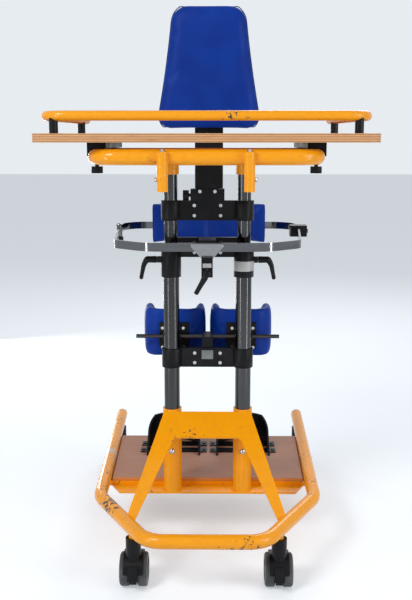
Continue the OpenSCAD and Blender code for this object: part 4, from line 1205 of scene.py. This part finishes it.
# %% Collar band
BAND_LOW, BAND_TOP = 0.679, 0.703
BAND_IN, BAND_OUT, BAND_EDGE = 0.0241, 0.0247, 0.0004
POST_X = 0.087
band = lathe("collar_band", [(BAND_IN, BAND_LOW), (BAND_OUT, BAND_LOW + BAND_EDGE),
                             (BAND_OUT, BAND_TOP - BAND_EDGE), (BAND_IN, BAND_TOP)])
place_in_mesh(band, (POST_X, POST_Y, 0))
fit_out(band, bare_band, "base")
print("collar band:", len(band.data.polygons), "faces")

# %% [markdown]
# **Wheel faces.** Each twin wheel shows a pale rim and a dark domed hub. Both are turned for each
# of the eight outer faces, laid over on their side, and keep their place in their own mesh.

# %% Wheel faces
WHEEL_FACE = 0.0306
AXLE_Z = 0.0375
WHEEL_SIDES = 48
RIM = [(0.0268, -0.002), (0.0268, 0.0006), (0.0290, 0.0010), (0.0332, 0.0006), (0.0342, -0.002)]
HUB = [(0.0010, -0.003), (0.0010, 0.0012), (0.0060, 0.0010), (0.0085, 0.0002), (0.0090, -0.003)]


def wheel_face(name, profile, centre, side, material, body):
    """Turned piece on the outer face of a wheel; the profile is (radius, depth past the face)."""
    made = lathe(name, profile, WHEEL_SIDES)
    made.rotation_euler = (0, side * math.pi / 2, 0)
    place_in_mesh(made, (centre.x + side * WHEEL_FACE, centre.y, centre.z))
    fit_out(made, material, body)


for name in ("front_left", "front_right", "rear_left", "rear_right"):
    low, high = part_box("castor_wheels_" + name)
    centre = Vector(((low[0] + high[0]) / 2, (low[1] + high[1]) / 2, AXLE_Z))
    body = "wheels_" + name
    for side, label in ((-1, "a"), (1, "b")):
        wheel_face("rim_" + name + label, RIM, centre, side, grey_rim, body)
        wheel_face("hub_" + name + label, HUB, centre, side, black_plastic, body)
    print("wheel faces of", name, "at", tuple(round(c, 3) for c in centre))

# %% [markdown]
# **Hinge fittings.** The hoop's hinge has a round black knob below and a small bright cap on top.

# %% Hinge fittings
HINGE_PLACE = (-0.244, 0.200, 0)
hinge_knob = lathe("hinge_knob", [(0.0015, 0.7279), (0.0080, 0.7279), (0.0105, 0.7262),
                                  (0.0110, 0.7215), (0.0102, 0.7150), (0.0070, 0.7118),
                                  (0.0015, 0.7112)])
hinge_cap = lathe("hinge_cap", [(0.0008, 0.7632), (0.0040, 0.7628), (0.0064, 0.7612),
                                (0.0072, 0.7592), (0.0008, 0.7590)])
for piece, material, slot in ((hinge_knob, black_plastic, "black_plastic"),
                              (hinge_cap, chrome_band, "chrome")):
    place_in_mesh(piece, HINGE_PLACE)
    fit_out(piece, material, "base")
    print(piece.name, "has", len(piece.data.polygons), "faces")

# %% [markdown]
# ## Pale plates
# The clamp block under the hoop and the knee block each have a small pale plate let into their
# front. A scaled cube with a bevelled edge is enough for something a few millimetres wide.

# %% Plates
PLATE_EDGE, PLATE_THICK, PLATE_SUNK = 0.0003, 0.0012, 0.0004


def plate(name, place, width, height, material, body):
    """A thin upright block with softened edges; place is its (Y of the face, Z of its middle)."""
    bpy.ops.object.select_all(action="DESELECT")
    bpy.ops.mesh.primitive_cube_add(size=1, location=(0, place[0] - PLATE_SUNK, place[1]))
    made = bpy.context.active_object
    made.name = name
    made.scale = (width, PLATE_THICK, height)
    bpy.ops.object.transform_apply(location=True, rotation=True, scale=True)
    apply_modifier(made, "BEVEL", width=PLATE_EDGE, segments=3)
    fit_out(made, material, body)
    print(name, "has", len(made.data.polygons), "faces")


block_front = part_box("hoop_arm")[0][1]
plate("block_window", (block_front, 0.7040), 0.020, 0.010, light_cap, "base")
plate("knee_patch", (WEB_FACE, 0.4720), 0.028, 0.022, bare_patch, "knee_carriage")
